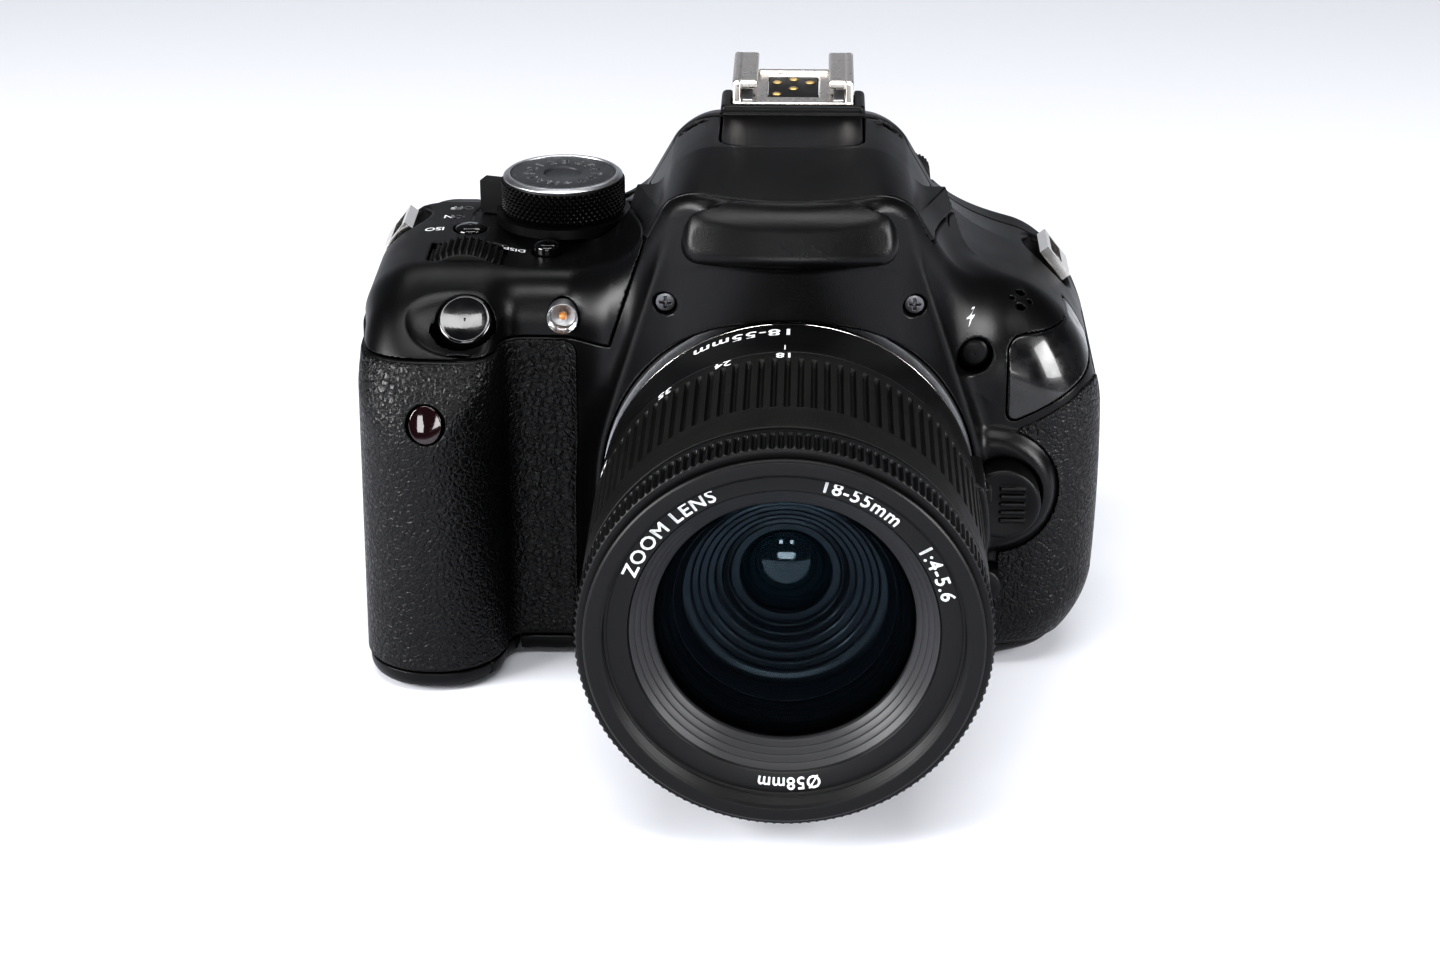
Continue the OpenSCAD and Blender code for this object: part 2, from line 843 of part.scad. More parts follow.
front_cover();
top_cover();
back_cover();
base_cover();
grip_rubber();
side_rubber();
name_plate();
chassis();
mirror_box();
body_bayonet();
image_sensor();
viewfinder_optics();
main_board();
battery_pack();
memory_card();
tripod_socket();
hot_shoe();
strap_lugs();
cover_screws();
front_windows();
eyecup();
battery_door();
card_door();
terminal_cover();
screen_arm();
screen_case();
screen_glass();
flash_head();
flash_window();
shutter_button();
main_dial();
iso_button();
display_button();
power_switch();
mode_dial();
lens_release();
flash_button();
preview_button();
main_mirror();
diopter_knob();
back_button("menu_button");  // menu_button
back_button("info_button");  // info_button
back_button("live_view_button");  // live_view_button
back_button("exposure_button");  // exposure_button
back_button("quick_button");  // quick_button
cross_keys();
set_button();
back_button("playback_button");  // playback_button
back_button("erase_button");  // erase_button
slant_button(lock_at);  // exposure_lock_button
slant_button(point_at);  // focus_point_button
lens_mount();
lens_barrel();
lens_glass();
zoom_ring();
front_barrel();
focus_ring();
front_glass();
lens_switch(switch_z[0]);  // focus_mode_switch
lens_switch(switch_z[1]);  // stabilizer_switch
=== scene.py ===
import json
import math

import bmesh
import bpy
import numpy as np
import openvdb
from mathutils import Matrix, Vector

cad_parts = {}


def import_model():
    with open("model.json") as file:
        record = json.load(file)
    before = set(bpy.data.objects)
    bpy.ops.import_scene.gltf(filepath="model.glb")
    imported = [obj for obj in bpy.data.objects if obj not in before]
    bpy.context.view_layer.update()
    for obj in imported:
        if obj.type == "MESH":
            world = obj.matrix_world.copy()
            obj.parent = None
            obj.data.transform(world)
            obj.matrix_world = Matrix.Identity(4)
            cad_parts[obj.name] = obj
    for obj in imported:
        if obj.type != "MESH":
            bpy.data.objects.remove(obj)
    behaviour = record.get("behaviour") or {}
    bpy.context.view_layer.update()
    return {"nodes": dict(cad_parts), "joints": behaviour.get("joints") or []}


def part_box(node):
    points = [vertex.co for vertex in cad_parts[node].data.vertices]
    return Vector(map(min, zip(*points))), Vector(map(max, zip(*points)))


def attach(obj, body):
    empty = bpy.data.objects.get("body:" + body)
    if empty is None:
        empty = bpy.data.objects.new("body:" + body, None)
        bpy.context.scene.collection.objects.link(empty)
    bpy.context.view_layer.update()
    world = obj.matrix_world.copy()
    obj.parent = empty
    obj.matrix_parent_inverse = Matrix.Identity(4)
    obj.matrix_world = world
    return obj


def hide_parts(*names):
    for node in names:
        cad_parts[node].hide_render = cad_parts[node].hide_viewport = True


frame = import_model()
NODES = frame["nodes"]
MM = 0.001

# ---------------------------------------------------------------- places from the frame, in millimetres


def node_box(node):
    lo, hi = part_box(node)
    return np.array(lo) / MM, np.array(hi) / MM


def middle(node):
    lo, hi = node_box(node)
    return (lo + hi) / 2


def joint(name):
    return next(j for j in frame["joints"] if j["name"] == name)


def joint_point(name):
    return np.array(joint(name)["pos_m"]) / MM


AXIS_Z = joint_point("zoom_turn")[2]
FLASH_PIVOT = joint_point("flash_hinge")[1:]
LID_Z = 81.6
SIGHT_Z = (node_box("eyecup")[0][2] + node_box("eyecup")[1][2]) / 2
SEAM_Y = 19.0
BASE_TOP = 4.0
WALL = 1.8
GAP = 0.12

# ---------------------------------------------------------------- small helpers for fields


def rmax(a, b, r):
    """Intersection of two fields with an edge rounded to radius r."""
    return np.minimum(np.maximum(a, b), -r) + np.hypot(np.maximum(a + r, 0), np.maximum(b + r, 0))


def smax(a, b, k):
    h = np.maximum(k - np.abs(a - b), 0) / k
    return np.maximum(a, b) + h * h * k * 0.25


def smin(a, b, k):
    return -smax(-a, -b, k)


def rmin(a, b, r):
    return -rmax(-a, -b, r)


def slab(v, lo, hi):
    return np.maximum(lo - v, v - hi)


def box_field(x, y, z, lo, hi, r=0.0):
    q = [np.abs(v - (a + b) / 2) - (b - a) / 2 + r for v, a, b in zip((x, y, z), lo, hi)]
    outside = np.sqrt(sum(np.maximum(v, 0) ** 2 for v in q))
    return outside + np.minimum(np.maximum(np.maximum(q[0], q[1]), q[2]), 0) - r


def ellipsoid(u, v, w, a, b, c):
    k0 = np.sqrt((u / a) ** 2 + (v / b) ** 2 + (w / c) ** 2)
    k1 = np.sqrt((u / a ** 2) ** 2 + (v / b ** 2) ** 2 + (w / c ** 2) ** 2)
    return k0 * (k0 - 1) / np.maximum(k1, 1e-6)


def step(v, lo, hi):
    t = np.clip((v - lo) / (hi - lo), 0, 1)
    return t * t * (3 - 2 * t)


# ---------------------------------------------------------------- shape of the whole body


def core(x, y, z):
    top = smax(z - 72.0, (0.44 * x + 0.9 * z - 81.2) / 1.002, 6)
    front = -y - 20.5 - 4.0 * step(x, -40, -31)
    back = y - 28.5
    d = rmax(front, top, 8 + 7 * step(x, 14, 36))
    d = rmax(d, back, 5)
    corner = 0.39 * x - 0.92 * z - 17.3
    d = rmax(d, rmax(x - 55.0 + 0.0014 * (z - 36) ** 2, corner, 11), 13)
    d = rmax(d, grip_side(x, z), 12)
    return rmax(d, -z, 3)


def grip_side(x, z):
    return -x - 75.2 + 0.015 * z


def grip(x, y, z):
    front = -y - 36.4 - 0.033 * z
    plan = rmax(np.maximum(x + 50.7, grip_side(x, z)), front, 11.5)
    platform = -0.669 * y + 0.743 * z - 68.1
    top = smax(platform, z - 72.0, 5)
    d = rmax(plan, top, 8 - 4 * step(x, -63, -53))
    d = rmax(d, y - 20, 2)
    return rmax(d, -z, 3)


def plate_width(z):
    over = z - 43
    return 34.3 - (over + np.sqrt(over * over + 30)) / 6


def mount_plate(x, y, z):
    side = 0.93 * (np.abs(x) - plate_width(z) - 0.35 * (y + 28.3))
    d = rmax(side, -y - 28.3, 0.9)
    d = np.maximum(d, z - 86)
    d = np.maximum(d, y + 8)
    return rmax(d, -z, 2)


def hump_top(y, z):
    return (z - 94.3 - 0.155 * np.minimum(y + 10, 0)) / 1.012


def hump(x, y, z):
    fall = z + 0.33 * np.maximum(y - 10, 0)
    side = 0.867 * np.abs(x + 0.35) + 0.4985 * fall - 62.5
    top = smax(fall - 94.3, hump_top(y, z), 3)
    d = rmax(side, top, 4.5)
    d = rmax(d, (-y - 35.3 + 0.016 * x * x) * 0.9, 2.2)
    d = rmax(d, y - 31, 6)
    return np.maximum(d, 60 - z)


def lid_arc(x, y, z):
    """Positive in front of the arc that the flash head's front edge sweeps; it keeps behind the brow."""
    reach = 38.0 - 0.013 * np.minimum(np.abs(x), 20.5) ** 2
    return np.hypot(y - FLASH_PIVOT[0], z - FLASH_PIVOT[1]) - reach


def brow(x, y, z):
    front = (-y - 39.4 + 0.010 * x * x + 0.4 * (z - 82)) * 0.92
    ends = np.abs(x) - 19.6 + 0.12 * (z - 82)
    d = rmax(ends, 80.8 - z, 4.6)
    d = rmax(d, rmax(hump_top(y, z), ends, 4.5), 2.6)
    d = rmax(d, front, 3.0)
    return np.maximum(d, y + 33)


def release_bulge(x, y, z):
    reach = np.hypot(x - 35.5, z - 35.5) - 11.3
    return np.maximum(rmax(reach, -y - 26.6, 2.5), y + 10)


def body(x, y, z):
    d = smin(core(x, y, z), grip(x, y, z), 5)
    d = smin(d, hump(x, y, z), 9)
    front = smin(mount_plate(x, y, z), brow(x, y, z), 5)
    d = smin(d, front, 1.6)
    d = smin(d, release_bulge(x, y, z), 1.6)
    return rmax(d, -z, 1.5)


# ---------------------------------------------------------------- fields to meshes

VOXEL = 0.36
TILE = 24


def field_mesh(field, lo, hi, voxel=VOXEL):
    """Corners, unit normals, quads and triangles of the surface where the field is zero."""
    lo = np.array(lo, float) - 2 * voxel
    hi = np.array(hi, float) + 2 * voxel
    reach = TILE * voxel
    count = np.ceil((hi - lo) / reach).astype(int)
    tiles = np.stack(np.meshgrid(*[np.arange(n) for n in count], indexing="ij"), -1).reshape(-1, 3)
    centres = lo + (tiles + 0.5) * reach
    level = field(*centres.T)
    grid = openvdb.FloatGrid(3 * voxel)
    ramp = (np.arange(TILE) * voxel).astype(np.float32)
    for t, c in zip(tiles, level):
        if c > reach * 1.05 + 1:
            continue
        if c < -reach * 1.05 - 1:
            block = np.full((TILE,) * 3, -3 * voxel, np.float32)
        else:
            o = (lo + t * reach).astype(np.float32)
            x, y, z = np.meshgrid(o[0] + ramp, o[1] + ramp, o[2] + ramp, indexing="ij", sparse=True)
            block = np.clip(np.broadcast_to(field(x, y, z), (TILE,) * 3), -3 * voxel, 3 * voxel)
            block = np.ascontiguousarray(block, np.float32)
        grid.copyFromArray(block, ijk=tuple(int(v) for v in t * TILE))
    points, tris, quads = grid.convertToPolygons(isovalue=0.0, adaptivity=0.0)
    points = points.astype(float) * voxel + lo
    points, normals = settle(field, points, voxel)
    return points, normals, quads, tris


TAPS = np.array([(1, -1, -1), (-1, -1, 1), (-1, 1, -1), (1, 1, 1)], float)


def settle(field, points, voxel):
    """Moves corners onto the surface and reads the normals off the field."""
    e = 0.04
    for _ in range(2):
        values = [field(*(points + e * t).T) for t in TAPS]
        slope = sum(v[:, None] * t for v, t in zip(values, TAPS)) / (4 * e)
        size2 = np.maximum((slope ** 2).sum(1), 0.05)
        move = (sum(values) / 4 / size2)[:, None] * slope
        length = np.linalg.norm(move, axis=1, keepdims=True)
        points = points - move * np.minimum(1, 0.7 * voxel / np.maximum(length, 1e-9))
    normals = slope / np.sqrt(np.maximum((slope ** 2).sum(1), 1e-12))[:, None]
    return points, normals


def link(name, mesh):
    obj = bpy.data.objects.new(name, mesh)
    bpy.context.scene.collection.objects.link(obj)
    return obj


def array_mesh(name, points, quads, tris, normals=None):
    mesh = bpy.data.meshes.new(name)
    mesh.vertices.add(len(points))
    mesh.vertices.foreach_set("co", (np.asarray(points) * MM).astype(np.float32).ravel())
    corners = np.concatenate([np.asarray(quads).ravel(), np.asarray(tris).ravel()]).astype(np.int32)
    sizes = [4] * len(quads) + [3] * len(tris)
    starts = np.concatenate([[0], np.cumsum(sizes)[:-1]]).astype(np.int32)
    mesh.loops.add(len(corners))
    mesh.loops.foreach_set("vertex_index", corners)
    mesh.polygons.add(len(sizes))
    mesh.polygons.foreach_set("loop_start", starts)
    mesh.update(calc_edges=True)
    mesh.validate()
    mesh.shade_smooth()
    if normals is not None:
        mesh.normals_split_custom_set_from_vertices(normals.astype(np.float32))
    return mesh


def field_object(name, field, lo, hi, voxel=VOXEL):
    points, normals, quads, tris = field_mesh(field, lo, hi, voxel)
    # openvdb winds its faces clockwise seen from outside
    quads, tris = quads[:, ::-1], tris[:, ::-1]
    sample = quads[:: max(1, len(quads) // 500)]
    first, second, third = (points[sample[:, k]] for k in range(3))
    across = np.cross(second - first, third - first)
    if (across * normals[sample[:, 0]]).sum() < 0:
        quads, tris = quads[:, ::-1], tris[:, ::-1]
    return link(name, array_mesh(name, points, quads, tris, normals))


# ---------------------------------------------------------------- materials


class Shader:
    """One node-based material. Every helper returns an output socket."""

    def __init__(self, name, color, rough, metallic=0.0, **inputs):
        self.mat = bpy.data.materials.new(name)
        self.mat.use_nodes = True
        self.tree = self.mat.node_tree
        self.bsdf = self.tree.nodes["Principled BSDF"]
        self.set("Base Color", (*color, 1.0))
        self.set("Roughness", rough)
        self.set("Metallic", metallic)
        for key, value in inputs.items():
            self.set(key.replace("_", " "), value)
        self.where = self.tree.nodes.new("ShaderNodeTexCoord").outputs["Object"]

    def set(self, key, value):
        self.bsdf.inputs[key].default_value = value

    def node(self, kind, **links):
        n = self.tree.nodes.new(kind)
        for key, value in links.items():
            socket = n.inputs[key.replace("_", " ")]
            if isinstance(value, bpy.types.NodeSocket):
                self.tree.links.new(value, socket)
            else:
                socket.default_value = value
        return n

    def noise(self, scale, detail=3.0, where=None, **kw):
        n = self.node("ShaderNodeTexNoise", Vector=where or self.where, Scale=scale, Detail=detail, **kw)
        return n.outputs["Fac"]

    def cells(self, scale, where=None, feature="F1", smooth=0.3):
        n = self.node("ShaderNodeTexVoronoi", Vector=where or self.where, Scale=scale)
        n.feature = feature
        if feature == "SMOOTH_F1":
            n.inputs["Smoothness"].default_value = smooth
        return n.outputs["Distance"]

    def maths(self, kind, a, b=0.0):
        n = self.tree.nodes.new("ShaderNodeMath")
        n.operation = kind
        for socket, value in zip(n.inputs, (a, b)):
            if isinstance(value, bpy.types.NodeSocket):
                self.tree.links.new(value, socket)
            else:
                socket.default_value = value
        return n.outputs[0]

    def spread(self, fac, lo, hi, start=0.0, end=1.0):
        n = self.node("ShaderNodeMapRange", Value=fac, From_Min=start, From_Max=end, To_Min=lo, To_Max=hi)
        return n.outputs["Result"]

    def ramp(self, fac, *stops):
        n = self.node("ShaderNodeValToRGB", Fac=fac)
        for i, (at, color) in enumerate(stops):
            e = n.color_ramp.elements[i] if i < 2 else n.color_ramp.elements.new(at)
            e.position = at
            e.color = (*color, 1.0)
        return n.outputs["Color"]

    def link(self, socket, key):
        self.tree.links.new(socket, self.bsdf.inputs[key])

    def bump(self, height, distance):
        self.link(self.node("ShaderNodeBump", Height=height, Distance=distance).outputs["Normal"], "Normal")


def satin_plastic(name, color=(0.0030, 0.0030, 0.0034), rough=0.31, grain=5200, depth=0.00003):
    """Moulded plastic with a fine spark-eroded grain and faint handling marks."""
    s = Shader(name, color, rough, Specular_IOR_Level=0.28)
    s.link(s.spread(s.noise(60, 5), rough - 0.05, rough + 0.07, 0.3, 0.7), "Roughness")
    dark, light = [c * 0.8 for c in color], [c * 1.3 for c in color]
    s.link(s.ramp(s.noise(25, 4), (0.3, dark), (0.7, light)), "Base Color")
    s.bump(s.noise(grain, 2), depth)
    return s.mat


def leatherette(name, scale=1500, depth=0.00013, rough=0.34):
    """Black rubber moulded with a wrinkled leather grain."""
    s = Shader(name, (0.008, 0.0082, 0.009), rough, Specular_IOR_Level=0.32)
    warp = s.node("ShaderNodeTexNoise", Vector=s.where, Scale=700.0, Detail=2.0).outputs["Color"]
    mix = s.node("ShaderNodeMix")
    mix.data_type = "VECTOR"
    mix.inputs["Factor"].default_value = 0.0010
    s.tree.links.new(s.where, mix.inputs[4])
    s.tree.links.new(warp, mix.inputs[5])
    place = mix.outputs[1]
    pebble = s.cells(scale, place, "SMOOTH_F1", 0.45)
    crease = s.cells(scale * 0.55, place, "DISTANCE_TO_EDGE")
    height = s.maths("SUBTRACT", s.spread(crease, 0.0, 0.8, 0.0, 0.22), pebble)
    height = s.maths("ADD", height, s.maths("MULTIPLY", s.noise(5200, 2), 0.10))
    s.bump(height, depth)
    s.link(s.spread(height, rough + 0.14, rough - 0.08, -0.5, 0.6), "Roughness")
    # Base colour follows the grain's height, darker in the creases and lighter on the pebble tops: painted
    # shade in the creases.
    s.link(s.ramp(height, (0.1, (0.002, 0.002, 0.0024)), (0.8, (0.007, 0.0072, 0.008))), "Base Color")
    return s.mat


def gloss_plastic(name, color=(0.004, 0.004, 0.0046), rough=0.08):
    s = Shader(name, color, rough, Coat_Weight=0.4, Coat_Roughness=0.03)
    s.link(s.spread(s.noise(300, 4), rough * 0.7, rough * 1.6, 0.3, 0.7), "Roughness")
    s.bump(s.noise(900, 2), 0.000004)
    return s.mat


def soft_rubber(name, color=(0.004, 0.004, 0.0044), rough=0.55):
    s = Shader(name, color, rough, Specular_IOR_Level=0.3)
    s.link(s.spread(s.noise(140, 5), rough - 0.07, rough + 0.08, 0.3, 0.7), "Roughness")
    s.bump(s.noise(2600, 3), 0.00005)
    return s.mat


def metal(name, color, rough):
    s = Shader(name, color, rough, 1.0)
    s.link(s.spread(s.noise(700, 2), rough * 0.95, rough * 1.08, 0.3, 0.7), "Roughness")
    s.link(s.ramp(s.noise(90, 2), (0.3, [c * 0.97 for c in color]), (0.7, color)), "Base Color")
    s.bump(s.noise(3000, 2), 0.0000008)
    return s.mat


def ink(name, color=(0.78, 0.79, 0.8)):
    s = Shader(name, color, 0.5)
    s.link(s.ramp(s.noise(1500, 3), (0.3, [c * 0.85 for c in color]), (0.7, color)), "Base Color")
    s.bump(s.noise(6000, 1), 0.00001)
    return s.mat


def clear_glass(name, tint=(1.0, 1.0, 1.0), index=1.45, rough=0.02, shine=(1.0, 1.0, 1.0)):
    """Thin clear pane: what is behind shows through, and more of the surroundings mirror at a slant."""
    s = Shader(name, tint, rough)
    through = s.node("ShaderNodeBsdfTransparent")
    shade = [0.97 * c for c in tint]
    s.tree.links.new(s.ramp(s.noise(12, 1), (0.2, tint), (0.8, shade)), through.inputs["Color"])
    gloss = s.spread(s.noise(80, 3), rough * 0.6, rough * 1.5)
    mirror = s.node("ShaderNodeBsdfGlossy", Color=(*shine, 1.0), Roughness=gloss)
    fresnel = s.node("ShaderNodeFresnel", IOR=index)
    mix = s.node("ShaderNodeMixShader", Fac=fresnel.outputs["Fac"])
    s.tree.links.new(through.outputs["BSDF"], mix.inputs[1])
    s.tree.links.new(mirror.outputs["BSDF"], mix.inputs[2])
    s.tree.links.new(mix.outputs["Shader"], s.tree.nodes["Material Output"].inputs["Surface"])
    s.tree.nodes.remove(s.bsdf)
    return s.mat


BODY = satin_plastic("body_plastic")
BODY_FINE = satin_plastic("body_plastic_fine", rough=0.38, grain=7000, depth=0.00002)
BARREL = satin_plastic("barrel_plastic", (0.004, 0.004, 0.0045), 0.40, 4800, 0.00002)
LEATHER = leatherette("grip_leatherette")
GLOSS = gloss_plastic("gloss_black")
BADGE_GLOSS = gloss_plastic("badge_plastic", rough=0.22)
SHUTTER_GLOSS = gloss_plastic("shutter_plastic", rough=0.13)
RUBBER = soft_rubber("black_rubber")
RIB_RUBBER = soft_rubber("ribbed_rubber", (0.0055, 0.0053, 0.005), 0.5)
CHROME = metal("chrome", (0.82, 0.80, 0.77), 0.16)
NICKEL = metal("nickel", (0.74, 0.71, 0.68), 0.28)
STEEL = metal("steel", (0.55, 0.56, 0.58), 0.34)
DARK_METAL = metal("dark_metal", (0.05, 0.05, 0.055), 0.42)
GOLD = metal("gold_contact", (0.85, 0.62, 0.28), 0.3)
WHITE_INK = ink("white_ink")
GLASS = clear_glass("window_glass")


def paint(obj, material):
    obj.data.materials.clear()
    obj.data.materials.append(material)
    return obj


def stands_for(obj, body_name, slot, *nodes):
    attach(obj, body_name)
    if nodes:
        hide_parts(*nodes)
    return obj


# ---------------------------------------------------------------- covers


def node_points(node):
    mesh = NODES[node].data
    co = np.empty(len(mesh.vertices) * 3, np.float32)
    mesh.vertices.foreach_get("co", co)
    return co.reshape(-1, 3).astype(float) / MM


def middle_where(node, test):
    """Middle of the box of a node's corners that pass a test, for a node of several separate solids."""
    points = node_points(node)
    points = points[test(points)]
    return (points.min(0) + points.max(0)) / 2


WINDOW_SPLIT_X = -50
LAMP = middle_where("front_windows", lambda p: p[:, 0] > WINDOW_SPLIT_X)
REMOTE = middle_where("front_windows", lambda p: p[:, 0] < WINDOW_SPLIT_X)
RELEASE = middle("lens_release")
RELEASE_R = (node_box("lens_release")[1][2] - node_box("lens_release")[0][2]) / 2
PREVIEW = middle("preview_button")
FLASH_BUTTON = middle("flash_button")
SHUTTER = joint("shutter_press")
SHUTTER_AT = middle("shutter_button")
SHUTTER_OUT = -np.array(SHUTTER["axis"], float)
SHUTTER_SKIN = 2.3
MODE_AT = middle("mode_dial")
MODE_R = (node_box("mode_dial")[1][0] - node_box("mode_dial")[0][0]) / 2
DIAL_AT = joint_point("main_dial_spin")
DIAL_R = (node_box("main_dial")[1][0] - node_box("main_dial")[0][0]) / 2
DIAL_W = node_box("main_dial")[1][1] - node_box("main_dial")[0][1]
FRONT_SCREWS = [
    middle_where("cover_screws", lambda p, s=s: (p[:, 2] > 50) & (p[:, 0] * s > 0)) for s in (-1, 1)
]
LUGS = [middle_where("strap_lugs", lambda p, s=s: p[:, 0] * s > 0) for s in (-1, 1)]
MICROPHONE = (40.2, -15.9, 68.1)
MICROPHONE_OUT = (0.33, -0.43, 0.84)
KEYS = middle("cross_keys")
SCREEN_LO, SCREEN_HI = node_box("screen_case")


def shell(x, y, z, wall=WALL):
    d = body(x, y, z)
    return np.maximum(d, -(d + wall))


def cut(d, other, r=0.3):
    """Takes other out of d, with the new edge rounded."""
    return rmax(d, -other, r)


def rod(u, v, at, r):
    """Endless round bar seen end on."""
    return np.hypot(u - at[0], v - at[1]) - r


def flash_region(x, y, z):
    """Negative inside the flash head's space."""
    d = np.maximum(LID_Z - z, np.abs(x) - 31)
    d = np.maximum(d, y - FLASH_PIVOT[0])
    d = np.minimum(d, rod(y, z, FLASH_PIVOT, 2.6))
    d = np.maximum(d, -box_field(x, y, z, (-12.6, -9.8, 60), (12.6, 60, 130), 4.5))
    return np.maximum(d, lid_arc(x, y, z))


def top_region(x, y, z):
    """Negative inside the top cover's space: the grip side's top, and the strip behind the flash head."""
    grip_side = np.maximum(62.0 - z, x + plate_width(z) + 3.4)
    strip = np.maximum(np.maximum(np.abs(x) - 27.2, -12 - y), 74.5 - z)
    return np.minimum(grip_side, strip)


def from_line(at, direction):
    """Measures a place's distance from the line through at, and its height along the line."""
    direction = np.array(direction, float) / np.linalg.norm(direction)

    def measure(x, y, z):
        h = (x - at[0]) * direction[0] + (y - at[1]) * direction[1] + (z - at[2]) * direction[2]
        r2 = (x - at[0]) ** 2 + (y - at[1]) ** 2 + (z - at[2]) ** 2 - h * h
        return np.sqrt(np.maximum(r2, 0)), h

    return measure


from_shutter = from_line(SHUTTER_AT, SHUTTER_OUT)


def lug_hollow(x, y, z):
    """Negative inside the round hollows around the two strap lugs."""
    reach = [np.sqrt((x - p[0]) ** 2 + ((y - p[1]) * 0.9) ** 2 + (z - p[2]) ** 2) for p in LUGS]
    return np.minimum(reach[0], reach[1]) - 6.4


def lug_pockets(d, x, y, z):
    return cut(d, lug_hollow(x, y, z), 0.8)


def lug_cups_field(x, y, z):
    """Thin cups that close the hollows behind the covers."""
    hollow = lug_hollow(x, y, z)
    return np.maximum(np.maximum(hollow - 0.8, 0.05 - hollow), body(x, y, z) + 0.5)


def front_cover_field(x, y, z):
    d = shell(x, y, z)
    d = rmax(d, y - SEAM_Y + GAP, 0.25)
    d = rmax(d, BASE_TOP + GAP - z, 0.25)
    d = cut(d, top_region(x, y, z) - GAP, 0.25)
    d = cut(d, flash_region(x, y, z) - GAP, 0.25)
    d = cut(d, np.maximum(rod(x, z, (0, AXIS_Z), 32.7), y + 8), 0.4)
    for at, r in ((RELEASE, RELEASE_R + 0.3), (PREVIEW, 3.75), (FLASH_BUTTON, 3.1)):
        d = cut(d, np.maximum(rod(x, z, at[[0, 2]], r), y), 0.5)
    d = cut(d, np.maximum(rod(x, z, REMOTE[[0, 2]], 3.4), y + 30), 0.2)
    for at in FRONT_SCREWS:
        d = cut(d, np.maximum(rod(x, z, at[[0, 2]], 2.0), y + 26), 0.25)
    r, h = from_line(MICROPHONE, MICROPHONE_OUT)(x, y, z)
    across = x - MICROPHONE[0] - h * MICROPHONE_OUT[0]
    above = z - MICROPHONE[2] - h * MICROPHONE_OUT[2]
    along = np.sqrt(np.maximum(r * r - across * across, 0)) * np.sign(above)
    near = np.minimum(np.hypot(np.abs(across) - 1.7, along), np.hypot(across, np.abs(along) - 1.7))
    d = cut(d, np.maximum(near - 0.72, -h - 5), 0.12)
    d = cut(d, badge_region(x, y, z) - 0.12, 0.2)
    d = cut(d, card_region(x, y, z) - GAP, 0.25)
    d = cut(d, terminal_region(x, y, z) - GAP, 0.25)
    return lug_pockets(d, x, y, z)


BADGE_LO = np.array([37.9, 49.4])
BADGE_HI = np.array([53.2, 63.4])


def badge_region(x, y, z):
    """Badge seen from the front: a rounded plate whose lower edge climbs to the right."""
    d = rmax(BADGE_LO[0] - x, z - BADGE_HI[1], 2.6)
    d = rmax(d, (BADGE_LO[1] - z + 0.5 * (x - 41.0)) / 1.12, 2.2)
    d = rmax(d, x - BADGE_HI[0], 2.0)
    skin = body(x, y, z)
    return rmax(np.maximum(d, y + 2), -skin - 1.0, 0.1)


def badge_field(x, y, z):
    return rmax(badge_region(x, y, z), body(x, y, z), 0.35)


def card_region(x, y, z):
    lo, hi = node_box("card_door")
    return box_field(x, y, z, (-90, lo[1], lo[2]), (-68, hi[1], hi[2]), 1.5)


def terminal_region(x, y, z):
    lo, hi = node_box("terminal_cover")
    return box_field(x, y, z, (51, lo[1], lo[2]), (70, hi[1], hi[2]), 2.0)


def battery_door_field(x, y, z):
    lo, hi = node_box("battery_door")
    d = box_field(x, y, z, (lo[0], lo[1], -5), (hi[0], hi[1], BASE_TOP - GAP), 0.9)
    d = rmax(shell(x, y, z, 2.2), d, 0.3)
    notch = np.sqrt((x - lo[0] - 9) ** 2 / 3 + (y - (lo[1] + hi[1]) / 2) ** 2 + (z + 2.6) ** 2) - 3.4
    return cut(d, notch, 0.4)


def card_door_field(x, y, z):
    d = rmax(shell(x, y, z), card_region(x, y, z) + GAP, 0.35)
    grip_y = node_box("card_door")[1][1] - 5
    return cut(d, np.sqrt((x + 77.5) ** 2 + (y - grip_y) ** 2 + ((z - 40) * 0.5) ** 2) - 2.6, 0.5)


def terminal_cover_field(x, y, z):
    lo, hi = node_box("terminal_cover")
    d = rmax(shell(x, y, z), terminal_region(x, y, z) + GAP, 0.5)
    middle_z = (lo[2] + hi[2]) / 2
    groove = np.maximum(np.abs(z - middle_z) - 0.25, np.abs(y - 1) - 10)
    return cut(d, np.maximum(groove, 55.4 - x), 0.2)


def table_field(x, y, z):
    """Table under the accessory shoe, with a low wall on each side of it."""
    d = box_field(x, y, z, (-12.3, -9.2, 78.2), (12.3, SEAM_Y - 0.3, 110), 2.7)
    d = rmax(d, body(x, y, z), 0.4)
    pad = box_field(x, y, z, (-12.9, 8.4, 88), (12.9, SEAM_Y - 0.3, 95.4), 0.9)
    d = smin(d, pad, 0.5)
    seat = box_field(x, y, z, (-11.0, 9.3, 94.3), (11.0, 60, 120), 0.2)
    return cut(d, seat, 0.3)


